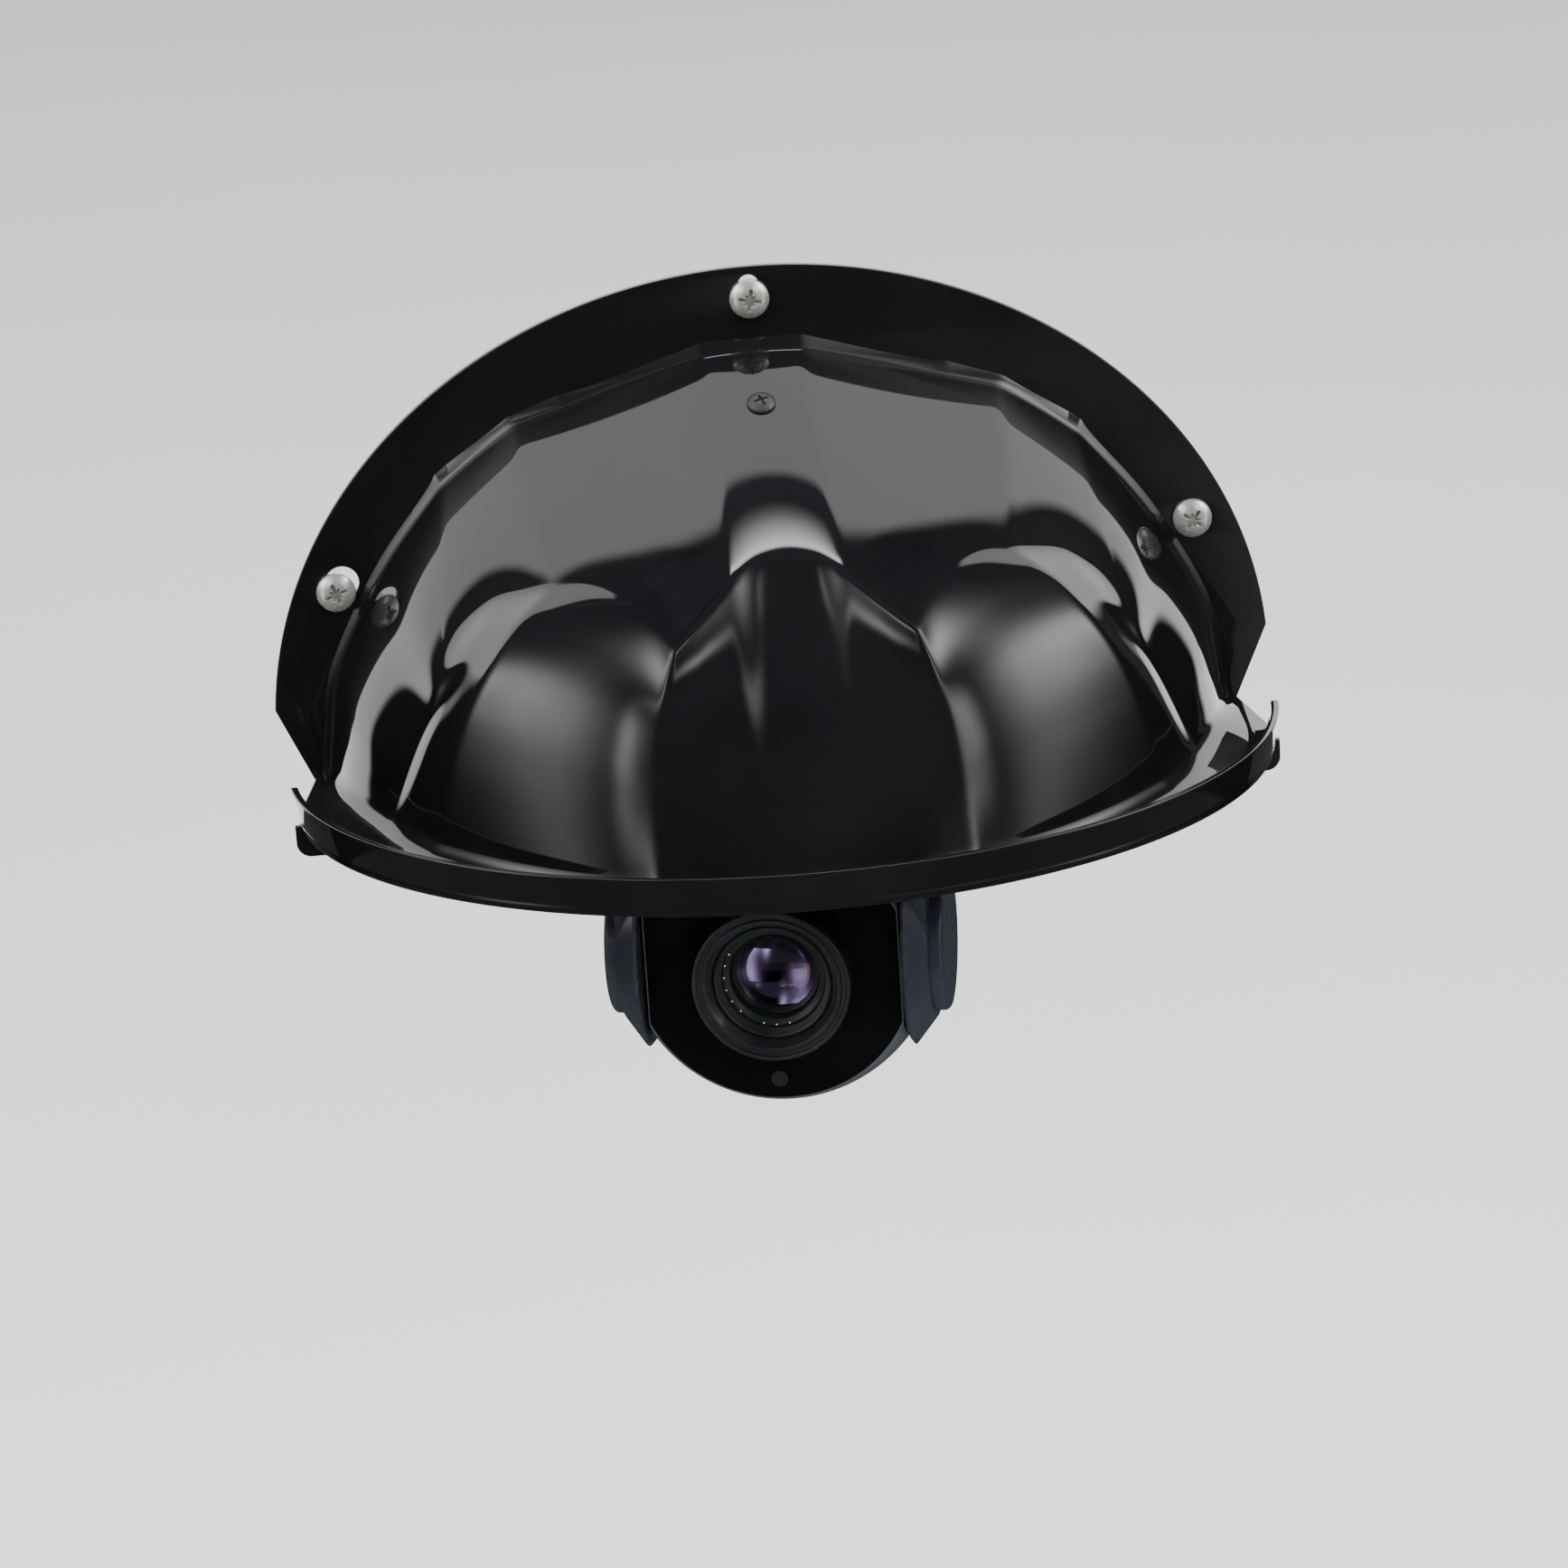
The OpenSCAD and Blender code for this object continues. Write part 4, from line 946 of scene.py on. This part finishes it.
def finish_nodes():
    """Gives every CAD node the finish of its slot, and softened edges where they are seen."""
    slots = {row["node"]: row["material_slot"] for row in frame["record"]["subparts"]}
    soft = {"yoke": 0.6, "ear_cover_left": 0.35, "ear_cover_right": 0.35, "head_front": 0.3,
            "head_rear": 0.3, "base_housing": 0.3, "base_lid": 0.3, "front_plate": 0.35,
            "wall_bracket": 0.3, "cable_gland": 0.25, "gland_nut": 0.25}
    for name, obj in frame["nodes"].items():
        obj.data.materials.clear()
        obj.data.materials.append(MATERIALS[slots[name]])
        if name in soft:
            bevel = obj.modifiers.new("soft_edges", "BEVEL")
            bevel.width = soft[name] * MM
            bevel.segments = 2
            bevel.limit_method = "ANGLE"
            bevel.angle_limit = math.radians(38)
            bevel.use_clamp_overlap = True
            bevel.harden_normals = True


# ---------- stage ----------

FLOOR_Z, FLOOR_HALF = -0.55, 9                # metres
FLOOR_COLOUR = (0.82, 0.83, 0.81)
LIT_POINT = Vector((0, -0.04, 0.03))          # the point that lights and tent are set round
CARD_Y = 0.034                                # just behind the wall's plane

# Glow of the tent round the front: azimuth, elevation, their spreads in degrees, and strength
LOBES = [
    (78, 36, 14, 15, 7.0), (-73, 36, 15, 15, 5.0),
    (34, 32, 4, 12, 3.5), (-33, 34, 4, 12, 3.5),
    (62, -16, 7, 18, 1.3), (-60, -16, 7, 18, 1.5), (28, -22, 14, 12, 0.4),
]


def make_stage():
    """Pale floor. The gloss sees a dark studio in its place."""
    mat, tree, shader, source = material("stage_floor", 0.7, FLOOR_COLOUR, specular=0.2)
    tone = spread(tree, noise(tree, source, 0.002), 0, 1)
    darker = tuple(c * 0.97 for c in FLOOR_COLOUR)
    tree.links.new(mix_colours(tree, tone, FLOOR_COLOUR, darker), shader.inputs["Base Color"])
    corners = [(x * FLOOR_HALF, y * FLOOR_HALF, FLOOR_Z) for x, y in ((-1, -1), (1, -1), (1, 1), (-1, 1))]
    mesh = bpy.data.meshes.new("stage_floor")
    mesh.from_pydata(corners, [], [(0, 1, 2, 3)])
    mesh.materials.append(mat)
    floor = bpy.data.objects.new("stage_floor", mesh)
    bpy.context.scene.collection.objects.link(floor)
    floor.visible_glossy = False


def glowing(name, mesh, make_level):
    """Object that only gloss sees. make_level makes the nodes for its strength and returns their socket."""
    mat = bpy.data.materials.new(name)
    mat.use_nodes = True
    tree = mat.node_tree
    tree.nodes.clear()
    glow = tree.nodes.new("ShaderNodeEmission")
    output = tree.nodes.new("ShaderNodeOutputMaterial")
    tree.links.new(make_level(tree), glow.inputs["Strength"])
    tree.links.new(glow.outputs["Emission"], output.inputs["Surface"])
    mesh.materials.append(mat)
    obj = bpy.data.objects.new(name, mesh)
    bpy.context.scene.collection.objects.link(obj)
    obj.visible_camera = False
    obj.visible_diffuse = False
    obj.visible_shadow = False
    return obj


def glow_card(name, place, size, strength, edge, round_off=0, foot=None):
    """Upright card that faces the front. It glows evenly and fades over its edge share.

    round_off rounds its corners, and foot cuts it off straight at that distance from its middle.
    """
    half_w, half_h = size[0] / 2, size[1] / 2
    low = -half_h if foot is None else foot

    def make_level(tree):
        coords = tree.nodes.new("ShaderNodeTexCoord")
        split = tree.nodes.new("ShaderNodeSeparateXYZ")
        tree.links.new(coords.outputs["Object"], split.inputs["Vector"])
        shares = [maths(tree, "DIVIDE", maths(tree, "ABSOLUTE", split.outputs[axis]), half)
                  for axis, half in (("X", half_w), ("Y", half_h))]
        reaches = list(zip(shares, edge))
        if round_off:
            # One distance for both directions, so that the corners are round
            total = maths(tree, "ADD", *(maths(tree, "POWER", share, round_off) for share in shares))
            reaches = [(maths(tree, "POWER", total, 1 / round_off), min(edge))]
        level = strength
        for reach, soft in reaches:
            fade = tree.nodes.new("ShaderNodeMapRange")
            fade.interpolation_type = "SMOOTHSTEP"
            fade.inputs["From Min"].default_value = 1 - soft
            fade.inputs["From Max"].default_value = 1
            fade.inputs["To Min"].default_value = 1
            fade.inputs["To Max"].default_value = 0
            tree.links.new(reach, fade.inputs["Value"])
            level = maths(tree, "MULTIPLY", fade.outputs["Result"], level)
        return level

    mesh = bpy.data.meshes.new(name)
    corners = [(-half_w, low, 0), (half_w, low, 0), (half_w, half_h, 0), (-half_w, half_h, 0)]
    mesh.from_pydata(corners, [], [(0, 1, 2, 3)])
    card = glowing(name, mesh, make_level)
    card.location = place
    card.rotation_euler = Vector((0, -1, 0)).to_track_quat("Z", "Y").to_euler()


def lobe_level(azimuth, elevation):
    """Strength of the tent's glow in a direction."""
    return sum(power * math.exp(-((azimuth - a) / da) ** 2 / 2 - ((elevation - e) / de) ** 2 / 2)
               for a, e, da, de, power in LOBES)


def glow_tent(radius=1.6, wide=104, high=60):
    """Part of a ball round the front that only gloss sees, with soft lobes of light on it."""
    azimuths = [-130 + 260 * k / wide for k in range(wide + 1)]
    elevations = [-30 + 105 * i / high for i in range(high + 1)]
    places = [(azimuth, elevation) for elevation in elevations for azimuth in azimuths]
    row = wide + 1
    faces = [(at, at + 1, at + row + 1, at + row)
             for i in range(high) for at in range(i * row, i * row + wide)]
    mesh = bpy.data.meshes.new("glow_tent")
    mesh.from_pydata([LIT_POINT + facing(*place) * radius for place in places], [], faces)
    glow = mesh.attributes.new("glow", "FLOAT", "POINT")
    glow.data.foreach_set("value", [lobe_level(*place) for place in places])

    def make_level(tree):
        level = tree.nodes.new("ShaderNodeAttribute")
        level.attribute_name = "glow"
        return level.outputs["Fac"]

    glowing("glow_tent", mesh, make_level)


def area_light(name, azimuth, elevation, distance, size, energy):
    """Soft box that lights but isn't mirrored, at a direction from the object and turned towards it."""
    away = facing(azimuth, elevation)
    data = bpy.data.lights.new(name, "AREA")
    data.shape = "RECTANGLE"
    data.size, data.size_y = size
    data.energy = energy
    light = bpy.data.objects.new(name, data)
    light.location = LIT_POINT + away * distance
    light.rotation_euler = away.to_track_quat("Z", "Y").to_euler()
    light.visible_glossy = False
    bpy.context.scene.collection.objects.link(light)


def make_lights():
    """Soft boxes for the satin parts, glowing shapes for the gloss, and a dim room."""
    area_light("key_right", 50, 35, 1.5, (0.6, 0.6), 9)
    area_light("key_left", -55, 35, 1.5, (0.6, 0.6), 7)
    area_light("fill_above", 0, 80, 4.0, (5, 5), 620)
    area_light("fill_front", 0, 20, 4.0, (4, 3), 80)
    glow_tent()
    # The pale wall behind, as far up as the roof mirrors it
    glow_card("card_wall", (-0.010, CARD_Y + MM, 0.07), (0.37, 0.54), 2.4, (0.12, 0.06), 3.4, -0.1)
    # The lamp that the roof's lower end mirrors
    glow_card("card_lamp", (0.022, CARD_Y, 0.47), (0.22, 0.22), 12.0, (0.3, 0.9))
    world = bpy.data.worlds.new("studio")
    world.use_nodes = True
    background = world.node_tree.nodes["Background"]
    background.inputs["Color"].default_value = (0.75, 0.8, 0.85, 1)
    background.inputs["Strength"].default_value = 0.1
    bpy.context.scene.world = world


MATERIALS = make_materials()
make_camera()
make_stage()
make_lights()
finish_nodes()
make_hood()
make_wall_screws()
make_roof_screw()
make_bezel()
make_barrel()
make_name_ring()
make_inner_rings()
make_ring_marks()
make_glass()

bpy.context.view_layer.update()
